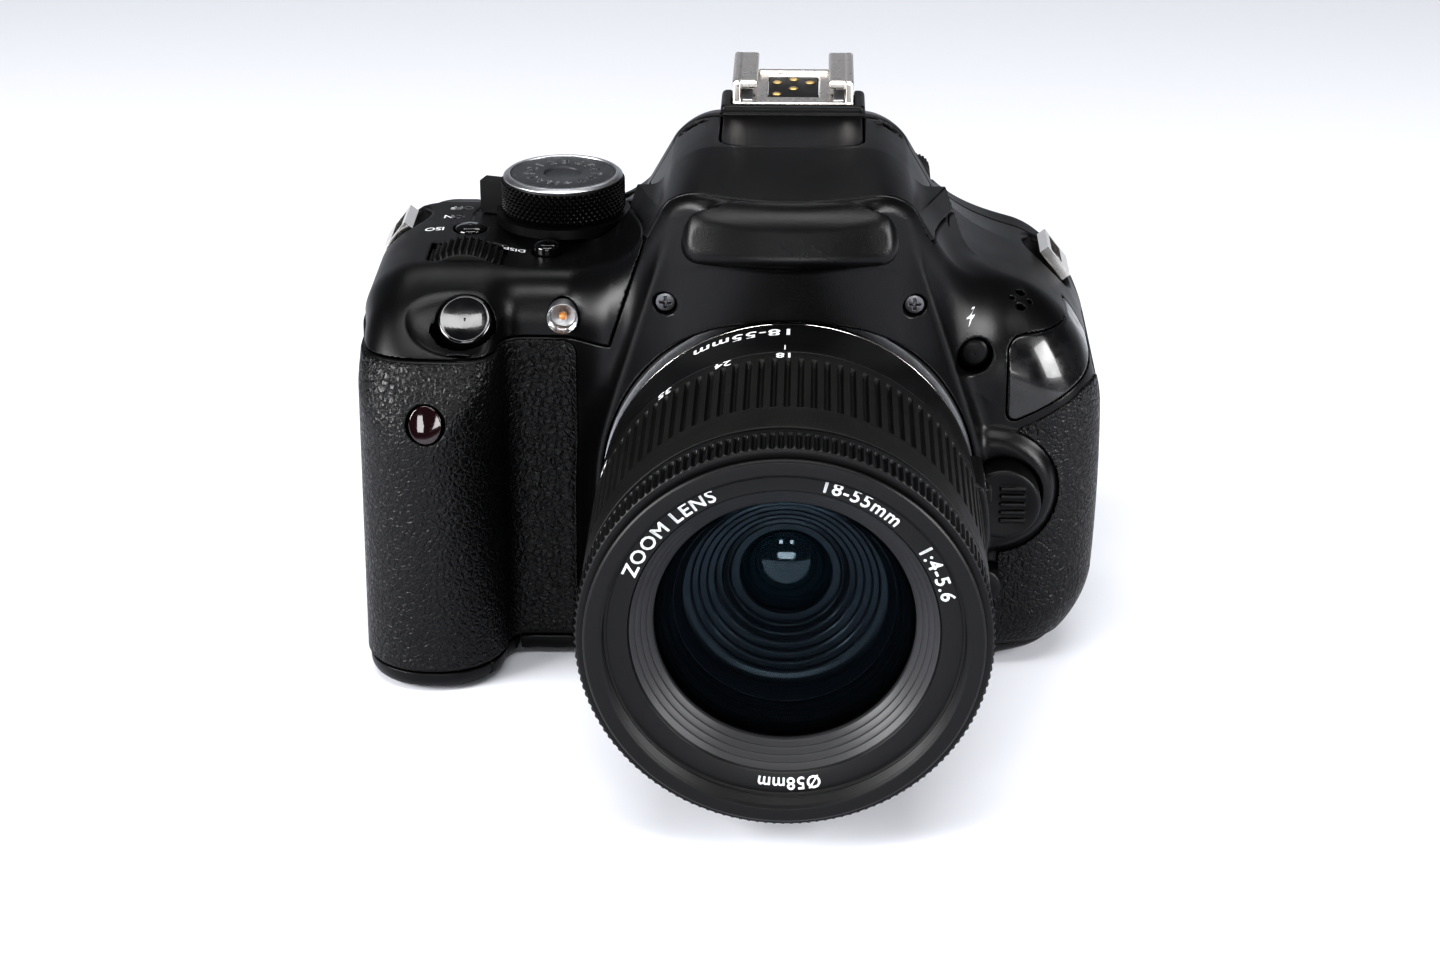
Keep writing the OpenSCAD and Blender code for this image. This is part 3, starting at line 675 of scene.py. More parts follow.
def top_cover_field(x, y, z):
    d = shell(x, y, z)
    d = rmax(d, top_region(x, y, z) + GAP, 0.25)
    d = cut(d, flash_region(x, y, z) - 0.2, 0.25)
    r, h = from_shutter(x, y, z)
    u = x - SHUTTER_AT[0]
    v = np.sqrt(np.maximum(r * r - u * u, 0))
    d = cut(d, ellipsoid(u + 0.9, v, h - SHUTTER_SKIN, 9.0, 7.2, 1.7), 0.6)
    d = cut(d, np.maximum(r - 5.1, -h - 8), 0.25)
    slot = rmax(rod(x, z, DIAL_AT[[0, 2]], DIAL_R + 0.45), np.abs(y - DIAL_AT[1]) - DIAL_W / 2 - 0.4, 0.5)
    d = cut(d, slot, 0.45)
    collar = np.maximum(rod(x, y, MODE_AT[:2], MODE_R + 1.5), 73.1 - z)
    d = cut(d, collar, 0.3)
    lever = np.maximum(rod(x, y, MODE_AT[:2], MODE_R + 5.3), 73.15 - z)
    side = np.maximum(x - MODE_AT[0] + 3, MODE_AT[1] - 5 - y)
    d = cut(d, np.maximum(lever, side), 0.5)
    for node in ("iso_button", "display_button"):
        lo, hi = node_box(node)
        at, radius = (lo + hi) / 2, (hi[0] - lo[0]) / 2
        d = cut(d, np.maximum(rod(x, y, at[:2], radius + 0.25), 60 - z), 0.3)
    d = cut(d, np.maximum(rod(x, z, LAMP[[0, 2]], 2.75), y + 10), 0.35)
    d = rmax(d, y - SEAM_Y + GAP, 0.25)
    d = np.minimum(lug_pockets(d, x, y, z), table_field(x, y, z))
    floor = box_field(x, y, z, (-22.5, -11.5, 77.2), (22.5, SEAM_Y - 0.4, 78.6), 0.3)
    return np.minimum(d, floor)


def flash_head_field(x, y, z):
    d = rmax(shell(x, y, z), flash_region(x, y, z) + GAP, 0.3)
    across = slab(np.abs(x), 13.2, 15.8)
    knuckle = np.maximum(rod(y, z, FLASH_PIVOT, 1.9), across)
    arm = np.maximum(across, np.maximum(slab(y, -6, 6), slab(z, 89, 91.5)))
    pin = rod(y, z, FLASH_PIVOT, 1.3)
    return np.maximum(np.minimum(d, rmin(knuckle, arm, 0.3)), -pin)


BACK_ROUND = ("menu_button", "info_button", "live_view_button", "exposure_button", "quick_button",
              "playback_button", "erase_button", "cross_keys")
SLANTED = ("exposure_lock_button", "focus_point_button")


def back_cover_field(x, y, z):
    thumb = np.sqrt(((x + 62) / 13) ** 2 + ((y - 25.5) / 5.2) ** 2 + ((z - 58) / 8) ** 2)
    d = smin(body(x, y, z), (thumb - 1) * 5.2, 3.0)
    d = np.maximum(d, -(body(x, y, z) + WALL))
    pocket = box_field(x, y, z, SCREEN_LO - (0.5, 0.5, 0.5), (90, 60, SCREEN_HI[2] + 0.5), 1.5)
    d = cut(d, pocket, 0.6)
    for node in BACK_ROUND:
        lo, hi = node_box(node)
        at, radius = (lo + hi) / 2, (hi[0] - lo[0]) / 2
        d = cut(d, rod(x, z, at[[0, 2]], radius + 0.25), 0.35)
    halo = np.sqrt((x - KEYS[0]) ** 2 + (z - KEYS[2]) ** 2 + ((y - 33.5) * 1.6) ** 2) - 13.6
    d = cut(d, halo, 0.4)
    for node in SLANTED:
        r, h = from_line(middle(node), -np.array(joint(node[:-7] + "_press")["axis"]))(x, y, z)
        d = cut(d, np.maximum(r - 2.85, -h - 8), 0.3)
    lever = np.maximum(rod(x, y, MODE_AT[:2], MODE_R + 5.3), 73.15 - z)
    d = cut(d, lever, 0.5)
    d = cut(d, box_field(x, y, z, (-9, 10, SIGHT_Z - 6), (9, 60, SIGHT_Z + 6), 1.5), 0.5)
    knob = middle("diopter_knob")
    d = cut(d, rod(x, z, knob[[0, 2]], 3.25), 0.3)
    d = cut(d, card_region(x, y, z) - GAP, 0.25)
    d = cut(d, terminal_region(x, y, z) - GAP, 0.25)
    d = lug_pockets(d, x, y, z)
    d = rmax(d, SEAM_Y + GAP - y, 0.25)
    d = rmax(d, BASE_TOP + GAP - z, 0.25)
    well_lo = (SCREEN_LO[0] - 1.2, 21.6, SCREEN_LO[2] - 0.8)
    well_hi = (47, SCREEN_LO[1] - 0.4, SCREEN_HI[2] + 1.2)
    return np.minimum(d, box_field(x, y, z, well_lo, well_hi))


def base_cover_field(x, y, z):
    d = rmax(shell(x, y, z, 2.4), z - BASE_TOP + GAP, 0.25)
    d = cut(d, rod(x, y, (0, 0), 5.15), 0.3)
    lo, hi = node_box("battery_door")
    d = cut(d, box_field(x, y, z, (lo[0] - 0.3, lo[1] - 0.4, -5), (hi[0] + 0.8, hi[1] + 0.4, 6), 1.0), 0.3)
    for at in BASE_SCREWS:
        d = cut(d, rod(x, y, at[:2], 1.95), 0.3)
    for side in (-1, 1):
        d = cut(d, np.maximum(rod(x, y, (11.5 * side + 4, 12), 1.1), z - 0.7), 0.15)
    return d


BASE_SCREWS = [
    middle_where("cover_screws", lambda p, s=s, t=t: (p[:, 2] < 9) & (p[:, 0] * s > 0) & (p[:, 1] * t > 0))
    for s in (-1, 1) for t in (-1, 1)
]


RUBBER_PROUD = 0.45


def rubber_layer(x, y, z):
    d = body(x, y, z)
    return np.maximum(d - RUBBER_PROUD, -d - 1.3), d


def grip_rubber_field(x, y, z):
    layer, d = rubber_layer(x, y, z)
    around = box_field(x, y, z, (-95, -60, BASE_TOP + 0.6), (-37.2, 2.5, 61.6), 2.5)
    around = np.maximum(around, x + plate_width(z) + 3.6)
    edge = rmax(d - RUBBER_PROUD, around, 0.4)
    region = np.maximum(edge, layer)
    return cut(region, np.maximum(rod(x, z, REMOTE[[0, 2]], 3.45), y + 30), 0.3)


def side_rubber_field(x, y, z):
    layer, d = rubber_layer(x, y, z)
    right = 36.2 + 0.045 * (z - 5) - x
    diagonal = (z - 47.6 - 0.5 * (x - 41.0)) / 1.12
    around = rmax(rmax(right, diagonal, 1.5), BASE_TOP + 1.0 - z, 1.5)
    around = rmax(around, y + 12.4, 1.0)
    around = cut(around, rod(x, z, (35.5, 35.5), 12.0), 0.6)
    return np.maximum(rmax(d - RUBBER_PROUD, around, 0.4), layer)


def eyecup_field(x, y, z):
    lo, hi = node_box("eyecup")
    d = box_field(x, y, z, lo, hi, 4.2)
    belly = np.sqrt((x / 20) ** 2 + ((y - hi[1] - 8) / 10.5) ** 2 + ((z - SIGHT_Z) / 15) ** 2) - 1
    d = cut(d, belly * 9, 1.2)
    return cut(d, box_field(x, y, z, (-9.8, 20, SIGHT_Z - 5.4), (9.8, 60, SIGHT_Z + 5.4), 2.0), 0.7)


def screen_case_field(x, y, z):
    lo, hi = SCREEN_LO, SCREEN_HI
    plan = box_field(x, 0 * y, z, (lo[0], -9, lo[2]), (hi[0], 9, hi[2]), 4.0)
    d = rmax(plan, slab(y, lo[1], hi[1]), 1.4)
    glass_lo, glass_hi = node_box("screen_glass")
    opening_lo = (glass_lo[0] - 0.1, 0, glass_lo[2] - 0.1)
    d = cut(d, box_field(x, y, z, opening_lo, glass_hi + 0.1, 0.2), 0.3)
    inset = box_field(x, 0 * y, z, (lo[0] + 4, -9, lo[2] + 4), (hi[0] - 4, 9, hi[2] - 4), 3.0)
    d = cut(d, np.maximum(np.abs(inset) - 0.3, hi[1] - 0.4 - y), 0.15)
    notch = np.sqrt((x - lo[0]) ** 2 + (y - hi[1] - 1) ** 2 + ((z - 34) * 0.35) ** 2) - 3.2
    return cut(d, notch, 0.8)


COVERS = (
    ("front_cover_skin", front_cover_field, "camera", "body_plastic", ("front_cover",), BODY),
    ("top_cover_skin", top_cover_field, "camera", "body_plastic", ("top_cover",), BODY),
    ("back_cover_skin", back_cover_field, "camera", "body_plastic", ("back_cover",), BODY_FINE),
    ("base_cover_skin", base_cover_field, "camera", "body_plastic", ("base_cover",), BODY_FINE),
    ("flash_head_skin", flash_head_field, "flash", "body_plastic", ("flash_head",), BODY),
    ("grip_leather", grip_rubber_field, "camera", "grip_rubber", ("grip_rubber",), LEATHER),
    ("side_leather", side_rubber_field, "camera", "grip_rubber", ("side_rubber",), LEATHER),
    ("badge", badge_field, "camera", "button_plastic", ("name_plate",), BADGE_GLOSS),
    ("card_door_skin", card_door_field, "card_door", "body_plastic", ("card_door",), BODY_FINE),
    ("battery_door_skin", battery_door_field, "battery_door", "body_plastic", ("battery_door",), BODY_FINE),
    ("terminal_cover_skin", terminal_cover_field, "terminal_cover", "grip_rubber",
     ("terminal_cover",), RUBBER),
    ("eyecup_skin", eyecup_field, "eyecup", "grip_rubber", ("eyecup",), RUBBER),
    ("screen_case_skin", screen_case_field, "screen", "body_plastic", ("screen_case",), BODY_FINE),
)
ROOM = 4.0


def make_covers():
    for name, field, body_name, slot, nodes, material in COVERS:
        lo, hi = node_box(nodes[0])
        obj = field_object(name, field, lo - ROOM, hi + ROOM)
        stands_for(paint(obj, material), body_name, slot, *nodes)
    lo, hi = node_box("strap_lugs")
    cups = field_object("lug_cups", lug_cups_field, lo - 2 * ROOM, hi + 2 * ROOM)
    stands_for(paint(cups, BODY_FINE), "camera", "body_plastic")


make_covers()

# ---------------------------------------------------------------- turned shapes of the lens


def frame_axes(axis):
    """Two unit vectors square to an axis."""
    w = np.array(axis, float) / np.linalg.norm(axis)
    u = np.cross(w, (0, 0, 1) if abs(w[2]) < 0.9 else (1, 0, 0))
    u /= np.linalg.norm(u)
    return u, np.cross(w, u), w


def fillet(points, r, arc):
    """Rounds every corner of a closed profile given as (radius, height) points."""
    pts = [np.array(p, float) for p in points]
    out = []
    for i, p in enumerate(pts):
        a, b = pts[i - 1] - p, pts[(i + 1) % len(pts)] - p
        la, lb = np.linalg.norm(a), np.linalg.norm(b)
        if la < 1e-6 or lb < 1e-6:
            continue
        reach = min(r, 0.45 * la, 0.45 * lb)
        start, end = p + a / la * reach, p + b / lb * reach
        for t in np.linspace(0, 1, arc):
            out.append((1 - t) ** 2 * start + 2 * t * (1 - t) * p + t * t * end)
    return np.array(out)


def finer(pts, step_length):
    """Adds places along each side of a closed profile, about step_length apart."""
    rows = []
    for i, p in enumerate(pts):
        q = pts[(i + 1) % len(pts)]
        k = max(1, int(np.linalg.norm(q - p) / step_length))
        rows += [p + (q - p) * t / k for t in range(k)]
    return np.array(rows)


def lathe(name, profile, at, axis, around=192, wave=None, r=0.3, arc=4, split=0.0):
    """Turned mesh of (radius, height) points; wave(radius, height, angle) may change the radius."""
    pts = fillet(profile, r, arc)
    if split:
        pts = finer(pts, split)
    u, v, w = frame_axes(axis)
    angle = np.linspace(0, 2 * math.pi, around, endpoint=False)
    radius = np.repeat(pts[:, :1], around, 1)
    height = np.repeat(pts[:, 1:], around, 1)
    turn = np.repeat(angle[None, :], len(pts), 0)
    if wave:
        radius = wave(radius, height, turn)
    outward = np.cos(turn)[..., None] * u + np.sin(turn)[..., None] * v
    co = np.array(at) + radius[..., None] * outward + height[..., None] * w
    rows = len(pts)
    i, j = np.meshgrid(np.arange(rows), np.arange(around), indexing="ij")
    i2, j2 = (i + 1) % rows, (j + 1) % around
    quads = np.stack([i * around + j, i * around + j2, i2 * around + j2, i2 * around + j], -1).reshape(-1, 4)
    mesh = array_mesh(name, co.reshape(-1, 3), quads, np.zeros((0, 3), int))
    bm = bmesh.new()
    bm.from_mesh(mesh)
    bmesh.ops.remove_doubles(bm, verts=bm.verts, dist=0.00001)
    bmesh.ops.recalc_face_normals(bm, faces=bm.faces)
    bm.to_mesh(mesh)
    bm.free()
    mesh.shade_smooth()
    mesh.set_sharp_from_angle(angle=math.radians(50))
    return link(name, mesh)


def turned(name, profile, at, axis, body_name, slot, material, nodes=(), **kw):
    obj = lathe(name, profile, at, axis, **kw)
    return stands_for(paint(obj, material), body_name, slot, *nodes)


OPTICAL = (0, 0, AXIS_Z)
FRONT = (0, -1, 0)


def lens_part(name, profile, body_name, slot, material, nodes=(), **kw):
    """Turned lens part; heights count forward from y = 0."""
    return turned(name, profile, OPTICAL, FRONT, body_name, slot, material, nodes, **kw)


RIBS = 96
TEETH = 150


def trapezoid_wave(turn, count, duty, edge=0.12):
    """1 on the raised part of each of count ribs, 0 between them, with sloped flanks."""
    phase = (turn * count / (2 * math.pi)) % 1.0
    off = np.abs(phase - 0.5) * 2
    return 1 - step(off, duty - edge, duty + edge)


def zoom_wave(radius, height, turn):
    ribbed = step(height, 52.4, 53.3) * (1 - step(height, 72.6, 73.5)) * (radius > 32.0)
    return radius - 0.85 * ribbed * (1 - trapezoid_wave(turn, RIBS, 0.60))


def focus_wave(radius, height, turn):
    cut_depth = 0.62 * (radius > 32.2) * step(height, 84.1, 84.5) * (1 - step(height, 89.5, 89.9))
    return radius - cut_depth * (1 - trapezoid_wave(turn, TEETH, 0.5, 0.3))


def make_barrel():
    barrel = [(22.5, 32.1), (31.5, 32.1), (31.9, 33.6), (31.9, 34.2), (32.15, 34.3), (32.15, 35.0)]
    barrel += [(32.35, 35.1), (32.9, 45.0), (32.9, 49.3), (29.2, 49.3), (29.2, 76), (27.8, 76)]
    barrel += [(27.8, 46), (22.5, 46)]
    lens_part("barrel", barrel, "lens", "body_plastic", BARREL, ("lens_barrel",), around=256, r=0.35)
    line = [(32.0, 34.15), (32.32, 34.3), (32.34, 34.75), (32.1, 34.95), (31.7, 34.9), (31.7, 34.2)]
    lens_part("barrel_line", line, "lens", "plain_steel", CHROME, around=256, r=0.1)


def make_turning_rings():
    zoom = [(30.9, 49.7), (32.9, 49.7), (33.05, 50.0), (33.05, 52.2), (33.1, 52.6), (33.1, 73.4)]
    zoom += [(33.05, 73.8), (33.05, 81.6), (30.9, 81.6)]
    lens_part("zoom", zoom, "zoom", "body_plastic", RIB_RUBBER, ("zoom_ring",), around=RIBS * 12,
              wave=zoom_wave, r=0.25, split=0.7)
    focus = [(30.7, 82.4), (32.9, 82.4), (33.1, 82.7), (33.1, 84.0), (33.2, 84.3), (33.2, 89.6)]
    focus += [(32.7, 90.1), (30.7, 90.1)]
    lens_part("focus", focus, "focus", "body_plastic", BARREL, ("focus_ring",), around=TEETH * 8,
              wave=focus_wave, r=0.2, split=0.35)


def make_front_barrel():
    """Front barrel with the filter thread, its printed ring and the stepped cone inside it."""
    steps = [(29.4, 60), (30.5, 60), (30.5, 90.5), (31.4, 90.6), (31.7, 91.0), (31.7, 91.45)]
    steps += [(31.3, 91.8), (29.3, 91.8)]
    for k in range(6):
        steps += [(28.95, 91.5 - 0.5 * k), (28.6, 91.25 - 0.5 * k)]
    steps += [(28.6, 88.5), (28.2, 88.3), (24.9, 87.6), (24.6, 87.3), (24.6, 82.7)]
    steps += [(20.9, 82.7), (20.9, 78), (26.8, 78), (26.8, 77), (29.4, 77)]
    lens_part("front_barrel_skin", steps, "front_group", "body_plastic", BARREL, ("front_barrel",),
              around=256, r=0.1, arc=3)
    lens_part("name_ring", [(28.1, 88.35), (24.9, 87.72), (24.7, 87.4), (28.0, 88.1)],
              "front_group", "body_plastic", SATIN_RING, around=256, r=0.05)
    cone = [(24.6, 82.8), (24.6, 87.3)]
    for k in range(4):
        outer, front = 24.55 - 0.9 * k, 87.25 - k
        cone += [(outer, front), (outer - 0.8, front - 0.72), (outer - 0.86, front - 1.0)]
    cone += [(20.95, 83.2), (20.95, 82.8)]
    lens_part("cone", cone, "front_group", "body_plastic", STEP_GREY, around=256, r=0.05, arc=3)


def make_front_group():
    """Front glass, and behind it the stepped cell that narrows down to the deep element, which is drawn
    opaque and dark as painted shade.
    """
    lens_part("front_element", bulged(20.7, 82.6, 105, 79.6), "front_group", "glass", COATED,
              ("front_glass",), around=160, r=0.1)
    cell = [(20.8, 82.5)]
    for r0, y0 in ((19.9, 81.2), (19.1, 79.0), (18.4, 76.6)):
        cell += [(r0 + 0.5, y0 + 0.5), (r0, y0), (r0, y0 - 1.4)]
    cell += [(17.6, 74.6), (17.6, 71.0), (16.4, 70.9)]
    for r0, y0 in ((15.2, 70.4), (14.0, 69.3), (12.7, 68.2), (11.4, 67.1), (10.2, 66.1), (9.0, 65.3)):
        cell += [(r0 + 0.4, y0 + 0.3), (r0, y0), (r0 + 0.05, y0 - 0.9)]
    cell += [(7.7, 64.6), (7.6, 64.0), (20.8, 63.8)]
    lens_part("front_cell", cell, "front_group", "inner_plastic", CELL, around=192, r=0.08)
    ring = [(18.3, 75.4), (18.0, 75.6), (16.7, 73.6), (16.6, 72.9), (17.4, 72.4), (18.3, 72.4)]
    lens_part("retaining_ring", ring, "front_group", "inner_plastic", DARK_METAL, around=192, r=0.1)
    lens_part("third_element", bulged(7.5, 62.2, 10.8, 61.0), "front_group", "glass", PUPIL_PAINTED_SHADE,
              around=96, r=0.1)


def make_inner_elements():
    # Inner glass elements are opaque and dark: painted shade of the lens's deep interior.
    for k, (r0, y0, curve) in enumerate(((13.8, 50.6, 30), (15.8, 39.5, 80), (17.8, 31.4, 120))):
        lens_part(f"inner_element_{k}", bulged(r0, y0, curve, y0 - 2.5), "lens", "glass", PUPIL_PAINTED_SHADE,
                  ("lens_glass",) if k == 0 else (), around=96, r=0.1)
        inside, front, back = r0 + 0.1, y0 + 0.6, y0 - 4.2
        cell = [(inside, front), (22.2, front), (22.2, back), (inside, back)]
        lens_part(f"inner_cell_{k}", cell, "lens", "inner_plastic", CELL, around=96, r=0.2)


def bulged(rim, rim_y, curve, back_y):
    """Profile of a glass element whose front is part of a ball of radius curve."""
    base = math.sqrt(curve * curve - rim * rim)
    reach = math.asin(rim / curve)
    turns = np.linspace(0, reach, 14)
    front = [(max(curve * math.sin(a), 0.01), rim_y + curve * math.cos(a) - base) for a in turns]
    return front + [(rim, back_y), (0.01, back_y - 0.01)]


SATIN_RING = satin_plastic("name_ring_plastic", (0.006, 0.006, 0.0065), 0.32, 6000, 0.00001)
STEP_GREY = satin_plastic("stepped_cone", (0.030, 0.030, 0.032), 0.36, 4000, 0.000002)
CELL = metal("lens_cell_black", (0.040, 0.041, 0.043), 0.33)
COATED = clear_glass("coated_glass", (0.86, 0.91, 0.94), 1.24, 0.10, (0.13, 0.20, 0.27))
# Opaque dark teal for the inner glass elements: the teal tint is the coating's own, the darkness is painted
# shade of the deep lens interior seen through the glass.
PUPIL_PAINTED_SHADE = gloss_plastic("glass_painted_with_shade", (0.0015, 0.008, 0.010), 0.06)
make_barrel()
make_turning_rings()
make_front_barrel()
make_front_group()
make_inner_elements()

# ---------------------------------------------------------------- lettering

BOLD = 0.022
PRINT_R = 26.45
PRINT_Y = -88.14
PRINT_SLOPE = 0.19


def text_object(name, text, size, spacing=1.0):
    """Flat bold lettering in the XY plane, centred on its own middle, in millimetres."""
    curve = bpy.data.curves.new(name, "FONT")
    curve.body = text
    curve.size = size
    curve.space_character = spacing
    curve.align_x, curve.align_y = "CENTER", "CENTER"
    curve.resolution_u = 3
    holder = bpy.data.objects.new(name, curve)
    bpy.context.scene.collection.objects.link(holder)
    bpy.context.view_layer.update()
    mesh = bpy.data.meshes.new_from_object(holder.evaluated_get(bpy.context.evaluated_depsgraph_get()))
    bpy.data.objects.remove(holder)
    bpy.data.curves.remove(curve)
    bm = bmesh.new()
    bm.from_mesh(mesh)
    bmesh.ops.triangulate(bm, faces=bm.faces)
    letters = bm.verts[:] + bm.edges[:] + bm.faces[:]
    for shift in ((1, 0), (-1, 0), (0, 1), (0, -1)):
        copy = bmesh.ops.duplicate(bm, geom=letters)["geom"]
        corners = [v for v in copy if isinstance(v, bmesh.types.BMVert)]
        bmesh.ops.translate(bm, verts=corners, vec=(BOLD * size * shift[0], BOLD * size * shift[1], 0))
    bm.to_mesh(mesh)
    bm.free()
    mesh.transform(Matrix.Scale(MM, 4))
    return link(name, mesh)


def place_text(obj, mapping):
    """Moves every corner of flat lettering through mapping, millimetres in and out."""
    mesh = obj.data
    co = np.empty(len(mesh.vertices) * 3, np.float32)
    mesh.vertices.foreach_get("co", co)
    moved = mapping(co.reshape(-1, 3).astype(float) / MM) * MM
    mesh.vertices.foreach_set("co", moved.astype(np.float32).ravel())
    mesh.update()
    return obj


def onto(surface, start, direction, steps=40):
    """Slides places along a direction until they meet the zero of a field."""
    direction = np.array(direction, float)
    p = np.array(start, float)
    for _ in range(steps):
        p = p + surface(*p.T)[:, None] * direction * 0.8
    return p


def draped(name, text, size, at):
    """Lettering laid on the top of the body, read from behind the camera."""
    obj = text_object(name, text, size)
    place_text(obj, lambda p: onto(body, at - p * (1, 1, 0) + (0, 0, 6), (0, 0, -1)) + (0, 0, 0.03))
    return stands_for(paint(obj, WHITE_INK), "camera", "button_plastic")


def round_text(name, text, size, turn, spacing):
    """Lettering on the printed ring at the lens's front.

    turn is where the middle of the text sits, in degrees clockwise from the top as seen from the front.
    """
    obj = text_object(name, text, size, spacing)

    def mapping(p):
        r = PRINT_R + p[:, 1]
        a = math.radians(turn) + p[:, 0] / PRINT_R
        return np.stack([r * np.sin(a), PRINT_Y - PRINT_SLOPE * (r - PRINT_R), AXIS_Z + r * np.cos(a)], -1)

    place_text(obj, mapping)
    return stands_for(paint(obj, WHITE_INK), "front_group", "button_plastic")


def barrel_text(name, text, size, radius, y, turn, body_name, spacing=1.0):
    """Lettering on the outside of the barrel, read from behind and above."""
    obj = text_object(name, text, size, spacing)

    def mapping(p):
        a = math.radians(turn) - p[:, 0] / radius
        return np.stack([radius * np.sin(a), y - p[:, 1], AXIS_Z + radius * np.cos(a)], -1)

    place_text(obj, mapping)
    return stands_for(paint(obj, WHITE_INK), body_name, "button_plastic")


def make_lettering():
    for k, (text, turn) in enumerate((("ZOOM LENS", -46), ("18-55mm", 27), ("1:4-5.6", 65))):
        round_text(f"ring_text_{k}", text, 3.3, turn, 1.12)
    round_text("ring_size", "Ø58mm", 2.9, 178, 1.1)
    barrel_text("range_text", "18-55mm", 4.3, 32.68, -39.6, -14, "lens", spacing=1.1)
    for number, turn in (("18", -1), ("24", -19), ("35", -38), ("55", -68)):
        barrel_text("zoom_" + number, number, 3.0, 33.12, -51.3, turn, "zoom")
    barrel_text("zoom_index", "|", 2.2, 32.95, -47.6, -1, "lens")
    for k, (text, z) in enumerate((("AF", 44.6), ("MF", 44.6), ("ON", 30.4), ("OFF", 30.4))):
        turn = math.degrees(math.atan2(34.2, z - AXIS_Z))
        barrel_text("switch_text_" + text, text, 1.35, 34.2, -39.3 - 3.8 * (k % 2), turn, "lens")
    draped("label_iso", "ISO", 2.4, (-64.4, 4.0, 75))
    draped("label_display", "DISP.", 2.0, (-49.4, -4.4, 75))
    draped("label_on", "ON", 2.4, (-61.6, 10.6, 75))
    draped("label_off", "OFF", 2.4, (-60.6, 15.6, 75))


def make_flash_sign():
    """Lightning bolt on the front, above the flash button."""
    bolt = [(0.3, 1.5), (-0.75, -0.15), (-0.05, -0.15), (-0.35, -1.5), (0.75, 0.3), (0.05, 0.3), (0.75, 1.5)]
    mesh = bpy.data.meshes.new("flash_sign")
    mesh.from_pydata([(u * MM, v * MM, 0) for u, v in bolt], [], [(0, 1, 2, 5, 6), (2, 3, 4, 5)])
    sign = link("flash_sign", mesh)

    def mapping(p):
        start = np.stack([31.2 + p[:, 0], -40 + 0 * p[:, 0], 67.2 + p[:, 1]], -1)
        return onto(body, start, (0, 1, 0)) - (0, 0.05, 0)

    place_text(sign, mapping)
    stands_for(paint(sign, WHITE_INK), "camera", "button_plastic")


# ---------------------------------------------------------------- buttons, dials and small fittings


def cap(r, low, high, dome, edge):
    """Profile of a push button with a domed top."""
    side = [(0.01, low), (r, low), (r, high - edge), (r - edge * 0.4, high - edge * 0.35)]
    return side + [(r * 0.7, high + dome * 0.4), (r * 0.35, high + dome * 0.85), (0.01, high + dome)]


def dress(node, material, bevel, segments=2):
    """Keeps a CAD piece as it is, with a material and bevelled edges."""
    obj = paint(NODES[node], material)
    m = obj.modifiers.new("edges", "BEVEL")
    m.width = bevel * MM
    m.segments = segments
    m.limit_method = "ANGLE"
    m.angle_limit = math.radians(40)


def make_shutter():
    dish = [(r0, 1.9 + 0.026 * r0 * r0) for r0 in (4.2, 3.6, 3.0, 2.4, 1.8, 1.2, 0.6, 0.01)]
    turned("shutter", [(0.01, -1.4), (4.6, -1.4), (4.6, 2.1)] + dish, SHUTTER_AT, SHUTTER_OUT,
           "shutter_button", "button_plastic", SHUTTER_GLOSS, ("shutter_button",), around=96, r=0.15)


def make_main_dial():
    ridges = 44

    def ridged(radius, height, turn):
        return radius - 0.8 * (radius > DIAL_R - 0.8) * (1 - trapezoid_wave(turn, ridges, 0.5, 0.35))

    half = DIAL_W / 2 - 0.1
    wheel = [(2, -half), (DIAL_R - 0.9, -half), (DIAL_R - 0.5, half * -0.92), (DIAL_R, half * -0.8)]
    wheel += [(r0, -h0) for r0, h0 in reversed(wheel)]
    turned("main_dial_wheel", wheel, DIAL_AT, (0, 1, 0), "main_dial", "button_plastic", RIB_RUBBER,
           ("main_dial",), around=ridges * 12, wave=ridged, r=0.3, split=1.0)


def mode_part(name, profile, slot, material, nodes=(), **kw):
    """Turned part of the mode dial; heights count up from the ground."""
    turned(name, profile, (MODE_AT[0], MODE_AT[1], 0.0), (0, 0, 1), "mode_dial", slot, material, nodes, **kw)


def make_mode_dial():
    low = node_box("mode_dial")[0][2]
    base = 75.35

    def knurl(radius, height, turn):
        u, v = turn * 62 / (2 * math.pi), (height - base) / 1.36
        peak = np.minimum(np.abs((u + v) % 1.0 - 0.5), np.abs((u - v) % 1.0 - 0.5)) * 2
        band = (radius > 10.4) * (height > base + 0.05) * (height < 81.0)
        return radius - 0.75 * band * (1 - step(peak, 0.12, 0.75))

    wheel = [(3, low), (3, base), (MODE_R - 0.5, base), (MODE_R, base + 0.3), (MODE_R, 80.9)]
    wheel += [(MODE_R - 0.35, 81.1), (MODE_R - 0.4, 81.3), (MODE_R - 1.5, 81.3), (0.01, 81.3), (0.01, low)]
    mode_part("mode_dial_wheel", wheel, "button_plastic", BARREL, ("mode_dial",), around=62 * 10,
              wave=knurl, r=0.2, split=0.17)
    rim = [(MODE_R - 0.45, 81.25), (MODE_R - 0.35, 81.6), (MODE_R - 1.0, 82.1), (MODE_R - 1.6, 82.15)]
    rim += [(MODE_R - 1.7, 81.9), (MODE_R - 1.7, 81.25)]
    mode_part("mode_dial_rim", rim, "plain_steel", STEEL, around=160, r=0.12)
    top = [(0.01, 81.2), (MODE_R - 1.75, 81.2), (MODE_R - 1.75, 81.95), (3.6, 81.95), (3.45, 81.8)]
    top += [(3.4, 81.55), (0.01, 81.5)]
    mode_part("mode_dial_top", top, "button_plastic", DIAL_GREY, around=128, r=0.05)


def mode_mark(name, text, size, radius, turn, material):
    """Character on the mode dial's top, at a radius and turned about the dial's axis."""
    glyph = text_object(name, text, size)
    at = (MODE_AT[0], MODE_AT[1], 81.98)
    place_text(glyph, lambda p: spun(p + (0, radius, 0), turn, at))
    stands_for(paint(glyph, material), "mode_dial", "button_plastic")


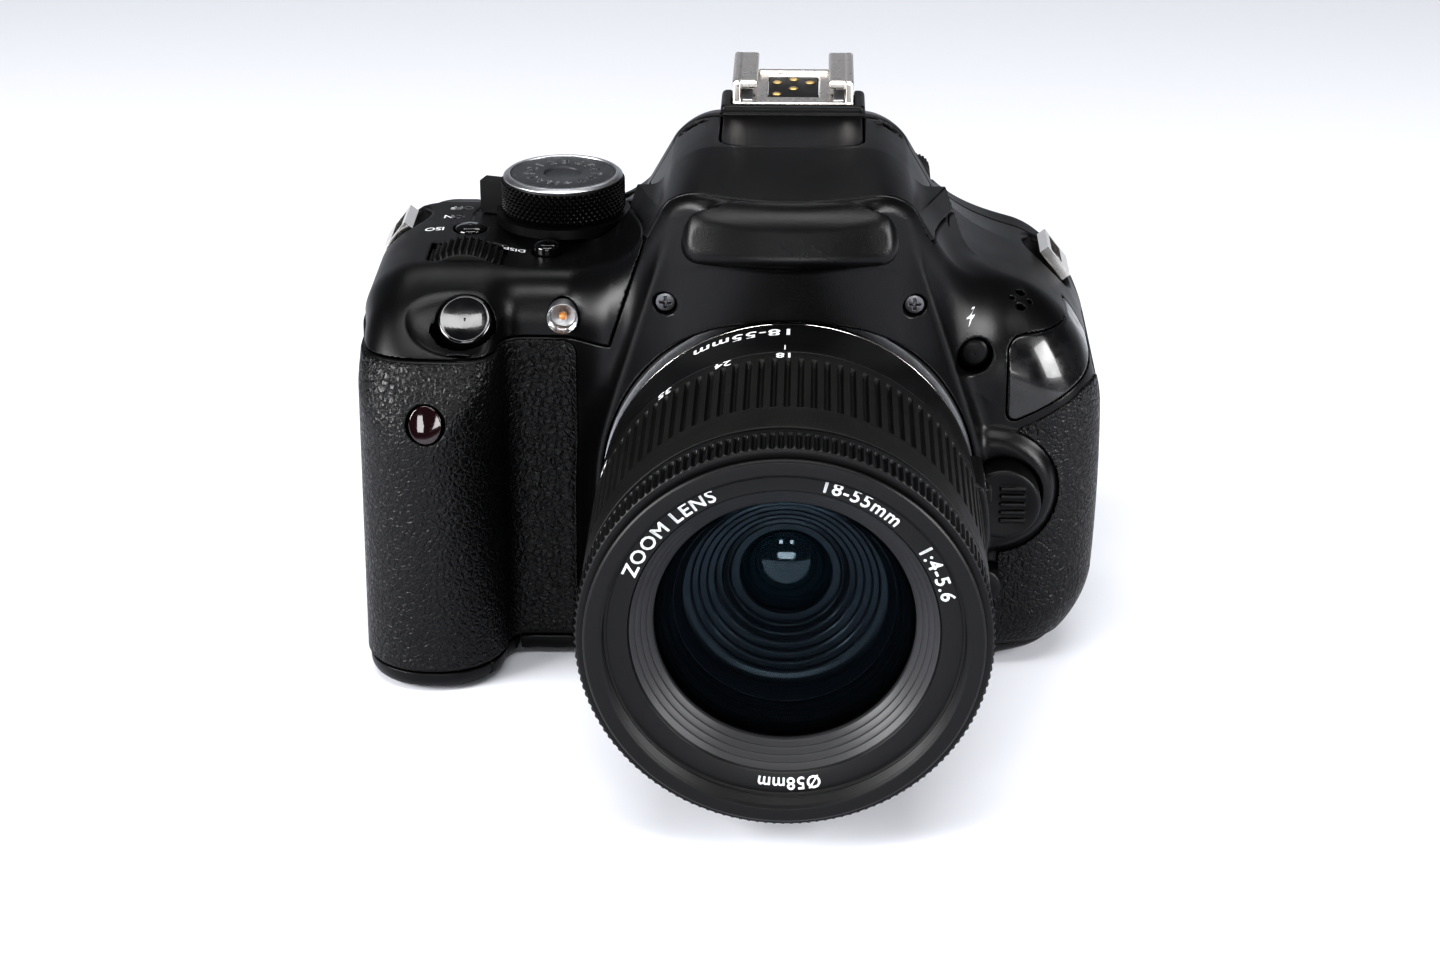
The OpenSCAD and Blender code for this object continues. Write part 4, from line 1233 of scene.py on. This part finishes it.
def make_mode_marks():
    for k in range(60):
        if k % 4 != 2:
            mode_mark(f"mode_tick_{k}", "|", 0.55, MODE_R - 2.35, math.radians(6 * k + 3), TICK_INK)
    marks = "MASPC123456789+"
    for k, mark in enumerate(marks):
        turn = -2 * math.pi * (k + 0.5) / len(marks) + math.pi
        mode_mark(f"mode_mark_{k}", mark, 2.7, 6.0, turn, WHITE_INK)


def make_top_buttons():
    for node, r in (("iso_button", 2.75), ("display_button", 2.35)):
        lo, hi = node_box(node)
        x, y, z = (lo + hi) / 2
        turned(node + "_cap", cap(r, lo[2], hi[2] - 0.1, 0.35, 0.45), (x, y, 0), (0, 0, 1), node,
               "button_plastic", GLOSS, (node,), around=72, r=0.15)
    dress("power_switch", BODY_FINE, 0.7, 3)


def spun(p, a, at):
    """Points turned by a about the upright, then moved to at."""
    c, s = math.cos(a), math.sin(a)
    x, y, z = p.T
    return np.stack([x * c - y * s + at[0], x * s + y * c + at[1], z + at[2]], -1)


def front_disc(name, node, r):
    """Round button facing forward; heights count along -Y."""
    lo, hi = node_box(node)
    x, y, z = (lo + hi) / 2
    turned(name, cap(r, -hi[1], -lo[1] - 0.35, 0.25, 0.6), (x, 0, z), FRONT, node, "button_plastic",
           BODY_FINE, (node,), around=96, r=0.2)


def make_release():
    """Lens release button: a shallow bowl with five raised bars."""
    lo, hi = node_box("lens_release")

    def release(x, y, z):
        d = rmax(rod(x, z, RELEASE[[0, 2]], RELEASE_R - 0.05), slab(y, lo[1] + 0.1, hi[1]), 0.9)
        bowl = np.sqrt((x - RELEASE[0]) ** 2 + (z - RELEASE[2]) ** 2 + (y - lo[1] + 22.5) ** 2) - 23.3
        d = cut(d, bowl, 0.3)
        ends = np.abs(x - RELEASE[0] - 1.6) - 2.2
        for k in range(-2, 3):
            bar = rod(y, z, (lo[1] + 0.35, RELEASE[2] + 1.5 * k), 0.38)
            d = smin(d, np.maximum(bar, ends), 0.2)
        d = cut(d, rod(x, z, (0, AXIS_Z), 33.4), 0.4)
        return np.maximum(d, np.hypot(x - RELEASE[0], z - RELEASE[2]) - RELEASE_R)

    obj = field_object("release_disc", release, lo, hi, 0.22)
    stands_for(paint(obj, BODY_FINE), "lens_release", "button_plastic", "lens_release")


def make_lamp():
    """Lamp window with fine upright flutes, a bright bowl behind it and the bulb in the bowl."""
    face = -23.2

    def lamp(x, y, z):
        d = rmax(rod(x, z, LAMP[[0, 2]], 2.6), slab(y, face, face + 2.4), 0.5)
        front = y - face - 0.25 + 0.14 * np.cos((x - LAMP[0]) * 2 * math.pi / 0.85)
        return np.maximum(d, -front)

    obj = field_object("lamp_window", lamp, LAMP - 3, LAMP + 3, 0.14)
    stands_for(paint(obj, LAMP_GLASS), "camera", "glass", "front_windows")
    at = (LAMP[0], 0, LAMP[2])
    bowl = [(0.01, 19.6), (2.1, 20.2), (2.55, 21.4), (2.6, 22.2), (2.7, 22.2), (2.7, 19.2), (0.01, 19.0)]
    turned("lamp_bowl", bowl, at, FRONT, "camera", "plain_steel", STEEL, around=64, r=0.1)
    turned("lamp_bulb", cap(0.75, 20.0, 21.2, 0.3, 0.3), at, FRONT, "camera", "button_plastic", AMBER,
           around=32, r=0.1)


def make_remote_window():
    def remote(x, y, z):
        skin = body(x, y, z)
        oval = np.sqrt(((x - REMOTE[0]) / 2.9) ** 2 + ((z - REMOTE[2]) / 3.3) ** 2) * 3.0 - 3.0
        d = rmax(oval, skin - 0.35 - 0.02 * oval, 0.25)
        return np.maximum(np.maximum(d, y + 30), -skin - 1.6)

    obj = field_object("remote_window", remote, REMOTE - 5, REMOTE + 5, 0.25)
    stands_for(paint(obj, DARK_WINDOW), "camera", "glass", "front_windows")


SCREW_R = 1.75


def screw(at, out):
    """Field of a cross-head screw's head that faces along out."""
    axes = frame_axes(out)

    def field(x, y, z):
        p = (x - at[0], y - at[1], z - at[2])
        a, b, h = (sum(c * k for c, k in zip(p, axis)) for axis in axes)
        rad = np.hypot(a, b)
        d = rmax(rad - SCREW_R, np.maximum(h + 0.06 * rad * rad - 0.3, -h - 1.2), 0.2)
        for s, t in ((a, b), (b, a)):
            d = cut(d, np.maximum(np.maximum(np.abs(s) - 0.24, np.abs(t) - 1.05), -0.55 - h), 0.06)
        return d

    return field


def make_screws():
    for k, (x, y, z) in enumerate(FRONT_SCREWS):
        place = np.array([x, -27.75, z])
        obj = field_object(f"front_screw_{k}", screw(place, FRONT), place - 2.2, place + 2.2, 0.1)
        stands_for(paint(obj, BLACK_SCREW), "camera", "plain_steel", "cover_screws")
    for k, (x, y, z) in enumerate(BASE_SCREWS):
        place = np.array([x, y, 0.75])
        obj = field_object(f"base_screw_{k}", screw(place, (0, 0, -1)), place - 2.2, place + 2.2, 0.12)
        stands_for(paint(obj, STEEL), "camera", "plain_steel", "cover_screws")


def make_switches():
    """Raised panel on the lens barrel with the two slide switches."""
    slots = [middle("focus_mode_switch"), middle("stabilizer_switch")]

    def panel(x, y, z):
        radius = np.hypot(x, z - AXIS_Z)
        d = rmax(radius - 34.15, slab(y, -48.6, -34.9), 0.6)
        d = rmax(d, slab(z, 28.4, 46.8), 1.2)
        d = np.maximum(np.maximum(d, 31.6 - radius), -x)
        for s in slots:
            d = cut(d, np.maximum(slab(z, s[2] - 1.6, s[2] + 1.6), slab(y, -45.2, -37.3)), 0.2)
        return d

    obj = field_object("switch_panel", panel, (26, -49, 28), (34.6, -34.5, 47), 0.3)
    stands_for(paint(obj, BARREL), "lens", "body_plastic", "lens_barrel")
    for node in ("focus_mode_switch", "stabilizer_switch"):
        lo, hi = node_box(node)

        def slider(x, y, z):
            ridges = 0.22 * np.cos((y - lo[1]) * 2 * math.pi / 0.75)
            return rmax(box_field(x, y, z, lo, hi, 0.35), x - hi[0] + 0.25 - ridges, 0.12)

        obj = field_object(node + "_slider", slider, lo, hi, 0.12)
        stands_for(paint(obj, RIB_RUBBER), node, "button_plastic", node)


def back_cap(name, node, r, at, low, high, axis=(0, 1, 0)):
    turned(name, cap(r, low, high - 0.2, 0.3, 0.5), at, axis, node, "button_plastic", BODY_FINE,
           (node,), around=72, r=0.15)


def make_back_buttons():
    for node in BACK_ROUND[:-1]:
        lo, hi = node_box(node)
        x, y, z = (lo + hi) / 2
        back_cap(node + "_cap", node, (hi[0] - lo[0]) / 2 - 0.05, (x, 0, z), lo[1], hi[1])


def make_cross_keys():
    """Ring of four keys with an arrow on each, and the set button in its middle."""
    at = (KEYS[0], 0, KEYS[2])
    lo, hi = node_box("cross_keys")
    ring = [(3.85, lo[1]), (9.4, lo[1]), (9.4, hi[1] - 1.4), (8.9, hi[1] - 0.5), (7.2, hi[1] - 0.05)]
    ring += [(5.6, hi[1] - 0.25), (4.2, hi[1] - 0.8), (3.85, hi[1] - 1.2)]
    turned("cross_ring", ring, at, (0, 1, 0), "cross_keys", "button_plastic", BODY_FINE,
           ("cross_keys",), around=160, r=0.4)
    set_lo, set_hi = node_box("set_button")
    back_cap("set_cap", "set_button", 3.55, at, set_lo[1], set_hi[1])
    no_quads = np.zeros((0, 4), int)
    for k in range(4):
        name = f"key_arrow_{k}"
        corners = [(-0.9, 0, 6.4), (0.9, 0, 6.4), (0, 0, 7.7)]
        arrow = link(name, array_mesh(name, corners, no_quads, np.array([[0, 1, 2]])))
        c, s = math.cos(k * math.pi / 2), math.sin(k * math.pi / 2)
        place_text(arrow, lambda p, c=c, s=s: np.stack([
            KEYS[0] + p[:, 0] * c - p[:, 2] * s, 0 * p[:, 0] + hi[1] + 0.03,
            KEYS[2] + p[:, 0] * s + p[:, 2] * c], -1))
        stands_for(paint(arrow, WHITE_INK), "cross_keys", "button_plastic")


def make_slanted_buttons():
    for node in SLANTED:
        out = -np.array(joint(node[:-7] + "_press")["axis"], float)
        back_cap(node + "_cap", node, 2.5, middle(node), -2.7, 2.75, out)


def make_diopter_knob():
    x, y, z = middle("diopter_knob")
    lo, hi = node_box("diopter_knob")

    def milled(radius, height, turn):
        band = (radius > 2.5) * (height > lo[1] + 3.5)
        return radius - 0.25 * band * (1 - trapezoid_wave(turn, 24, 0.5, 0.3))

    profile = [(0.01, lo[1]), (2.9, lo[1]), (2.9, hi[1] - 0.4), (2.5, hi[1]), (0.01, hi[1])]
    turned("diopter_wheel", profile, (x, 0, z), (0, 1, 0), "diopter_knob", "button_plastic", RIB_RUBBER,
           ("diopter_knob",), around=24 * 8, wave=milled, r=0.2, split=0.8)


def make_screen_panel():
    lo, hi = node_box("screen_glass")

    def panel(x, y, z):
        return box_field(x, y, z, lo + 0.05, hi - 0.05, 0.25)

    obj = field_object("screen_panel", panel, lo, hi, 0.5)
    stands_for(paint(obj, SCREEN_BLACK), "screen", "glass", "screen_glass")


def shoe_field(x, y, z):
    """Folded metal accessory shoe: a floor, two side walls and the lips turned in over them."""
    lo, hi = node_box("hot_shoe")
    d = box_field(x, y, z, lo, (hi[0], hi[1], lo[2] + 1.2), 0.25)
    wall = box_field(np.abs(x), y, z, (hi[0] - 1.5, lo[1], lo[2]), hi, 0.55)
    lip = box_field(np.abs(x), y, z, (6.35, lo[1] + 0.4, hi[2] - 1.7), (hi[0], hi[1], hi[2]), 0.5)
    d = rmin(rmin(d, wall, 0.2), lip, 0.2)
    stop = box_field(x, y, z, (-6.5, hi[1] - 1.4, lo[2]), (6.5, hi[1], lo[2] + 1.9), 0.3)
    d = np.minimum(d, stop)
    for at in ((-7.9, 14.0), (7.9, 14.0), (-7.9, 24.0), (7.9, 24.0)):
        d = cut(d, np.maximum(rod(x, y, at, 0.9), slab(z, lo[2] + 0.95, lo[2] + 2)), 0.1)
    return cut(d, np.maximum(np.abs(x) - 4.6, slab(y, lo[1] + 3.4, hi[1] - 2.2)), 0.15)


def make_shoe():
    lo, hi = node_box("hot_shoe")
    obj = field_object("shoe", shoe_field, lo, hi, 0.24)
    stands_for(paint(obj, NICKEL), "camera", "plain_steel", "hot_shoe")

    def pad(x, y, z):
        return box_field(x, y, z, (-4.5, lo[1] + 3.5, lo[2] - 0.2), (4.5, hi[1] - 2.3, lo[2] + 1.0), 0.2)

    obj = field_object("shoe_pad", pad, lo, hi, 0.3)
    stands_for(paint(obj, BODY_FINE), "camera", "inner_plastic", "hot_shoe")
    contact = [(0.01, 0.6), (0.85, 0.6), (0.85, 1.05), (0.55, 1.2), (0.01, 1.22)]
    for k, (x, y) in enumerate(((0, 19), (-3.0, 22.8), (3.0, 22.8), (0, 24.6), (-3.0, 15.6))):
        turned(f"shoe_contact_{k}", contact, (x, y, lo[2]), (0, 0, 1), "camera", "plain_steel", GOLD,
               ("hot_shoe",), around=40, r=0.08)
    for side in (-1, 1):
        def leaf(x, y, z, side=side):
            arch = lo[2] + 1.35 + 0.9 * np.exp(-((y - lo[1] - 7) / 3.0) ** 2)
            strip = np.maximum(slab(side * x, 7.2, 9.1), slab(y, lo[1] + 0.8, hi[1] - 2))
            return rmax(slab(z, arch - 0.16, arch + 0.16), strip, 0.12)

        obj = field_object(f"shoe_spring_{side}", leaf, lo, hi, 0.16)
        stands_for(paint(obj, STEEL), "camera", "plain_steel", "hot_shoe")


def make_eyepiece_window():
    def pane(x, y, z):
        return box_field(x, y, z, (-9.6, 28.6, SIGHT_Z - 5.2), (9.6, 29.6, SIGHT_Z + 5.2), 0.3)

    obj = field_object("eyepiece_glass", pane, (-10, 28, SIGHT_Z - 6), (10, 30, SIGHT_Z + 6), 0.3)
    stands_for(paint(obj, GLASS), "camera", "glass")


BLACK_SCREW = metal("blackened_screw", (0.16, 0.16, 0.17), 0.38)
DIAL_GREY = satin_plastic("dial_top_grey", (0.035, 0.036, 0.04), 0.34, 4000, 0.00001)
TICK_INK = ink("light_ticks", (0.5, 0.51, 0.53))
LAMP_GLASS = clear_glass("lamp_glass")
AMBER = gloss_plastic("amber_bulb", (0.55, 0.23, 0.05), 0.2)
DARK_WINDOW = gloss_plastic("dark_window", (0.010, 0.003, 0.004), 0.05)
SCREEN_BLACK = gloss_plastic("screen_black", (0.004, 0.0045, 0.006), 0.04)
SENSOR = gloss_plastic("sensor_green", (0.05, 0.11, 0.09), 0.15)
BOARD = satin_plastic("circuit_board", (0.01, 0.06, 0.02), 0.45, 1500, 0.00002)
CARD = satin_plastic("card_blue", (0.02, 0.03, 0.09), 0.4, 3000, 0.00001)
FLASH_GLASS = gloss_plastic("flash_diffuser", (0.6, 0.61, 0.6), 0.2)
MIRROR = metal("mirror_silver", (0.9, 0.9, 0.92), 0.04)
make_lettering()
make_flash_sign()
make_shutter()
make_main_dial()
make_mode_dial()
make_mode_marks()
make_top_buttons()
make_release()
front_disc("preview_disc", "preview_button", 3.4)
front_disc("flash_disc", "flash_button", 2.8)
make_lamp()
make_remote_window()
make_screws()
make_switches()
make_back_buttons()
make_cross_keys()
make_slanted_buttons()
make_diopter_knob()
make_screen_panel()
make_eyepiece_window()
make_shoe()
DRESS = (
    ("chassis", DARK_METAL, 0.2), ("mirror_box", CELL, 0.15), ("body_bayonet", STEEL, 0.15),
    ("image_sensor", SENSOR, 0.1), ("viewfinder_optics", CELL, 0.2), ("main_board", BOARD, 0.1),
    ("battery_pack", BODY_FINE, 0.5), ("memory_card", CARD, 0.25), ("tripod_socket", STEEL, 0.2),
    ("strap_lugs", CHROME, 0.25),
    ("screen_arm", BODY_FINE, 0.4), ("flash_window", FLASH_GLASS, 0.3), ("lens_mount", DARK_METAL, 0.15),
    ("main_mirror", MIRROR, 0.1),
)
for node, material, bevel in DRESS:
    dress(node, material, bevel)

# ---------------------------------------------------------------- stage


def stage_mesh(name, verts, faces, material):
    mesh = bpy.data.meshes.new(name)
    mesh.from_pydata([[c * MM for c in v] for v in verts], [], faces)
    mesh.shade_smooth()
    obj = link(name, mesh)
    paint(obj, material)
    return obj


def sweep_backdrop():
    """Pale floor that curves up into the wall behind."""
    points = [(-1500, 0)]
    points += [(1000 + 300 * math.sin(a), 300 - 300 * math.cos(a)) for a in np.linspace(0, math.pi / 2, 24)]
    points += [(1300, 500)]
    verts = [(s * 2600, y, z) for y, z in points for s in (-1, 1)]
    faces = [(2 * i, 2 * i + 1, 2 * i + 3, 2 * i + 2) for i in range(len(points) - 1)]
    return stage_mesh("backdrop", verts, faces, FLOOR)


def look(obj, at, target):
    direction = Vector(target) * MM - Vector(at) * MM
    obj.location = Vector(at) * MM
    obj.rotation_euler = direction.to_track_quat("-Z", "Y").to_euler()


def softbox(name, at, target, size, power):
    light = bpy.data.lights.new(name, "AREA")
    light.shape = "RECTANGLE"
    light.size, light.size_y = size[0] * MM, size[1] * MM
    light.energy = power
    obj = bpy.data.objects.new(name, light)
    bpy.context.scene.collection.objects.link(obj)
    look(obj, at, target)


def camera():
    data = bpy.data.cameras.new("camera")
    data.lens = 79.15
    data.sensor_width = 36
    data.clip_start, data.clip_end = 0.01, 20
    obj = bpy.data.objects.new("camera", data)
    bpy.context.scene.collection.objects.link(obj)
    right = Vector((0.99953, 0.03060, -0.00168))
    up = Vector((-0.01078, 0.40234, 0.91543))
    back = right.cross(up).normalized()
    right = up.cross(back).normalized()
    turn = Matrix((right, up.normalized(), back)).transposed()
    obj.matrix_world = Matrix.Translation(Vector((3.932, -535.559, 261.291)) * MM) @ turn.to_4x4()
    bpy.context.scene.camera = obj


def world(strength):
    w = bpy.data.worlds.new("studio")
    w.use_nodes = True
    back = w.node_tree.nodes["Background"]
    back.inputs["Color"].default_value = (0.96, 0.98, 1.0, 1)
    back.inputs["Strength"].default_value = strength
    bpy.context.scene.world = w


FLOOR = Shader("paper_floor", (0.74, 0.75, 0.79), 0.8, Specular_IOR_Level=0.1).mat
sweep_backdrop()
camera()
world(0.08)
softbox("side_left", (-560, -330, 300), (-20, -40, 30), (360, 360), 6.0)
softbox("side_right", (580, -330, 290), (20, -40, 30), (340, 340), 4.6)
softbox("top_front", (0, -230, 660), (0, -20, 60), (620, 160), 2.6)
softbox("front_low", (0, -700, 130), (0, -30, 88), (360, 120), 1.1)
softbox("far_floor", (0, 800, 1250), (0, 620, 0), (1100, 400), 4.0)
for side in (-1, 1):
    softbox(f"glint_{side}", (115 * side, -640, 400), (0, -60, 45), (70, 90), 0.22)
view = bpy.context.scene.view_settings
view.view_transform = "Standard"
view.look = "High Contrast"
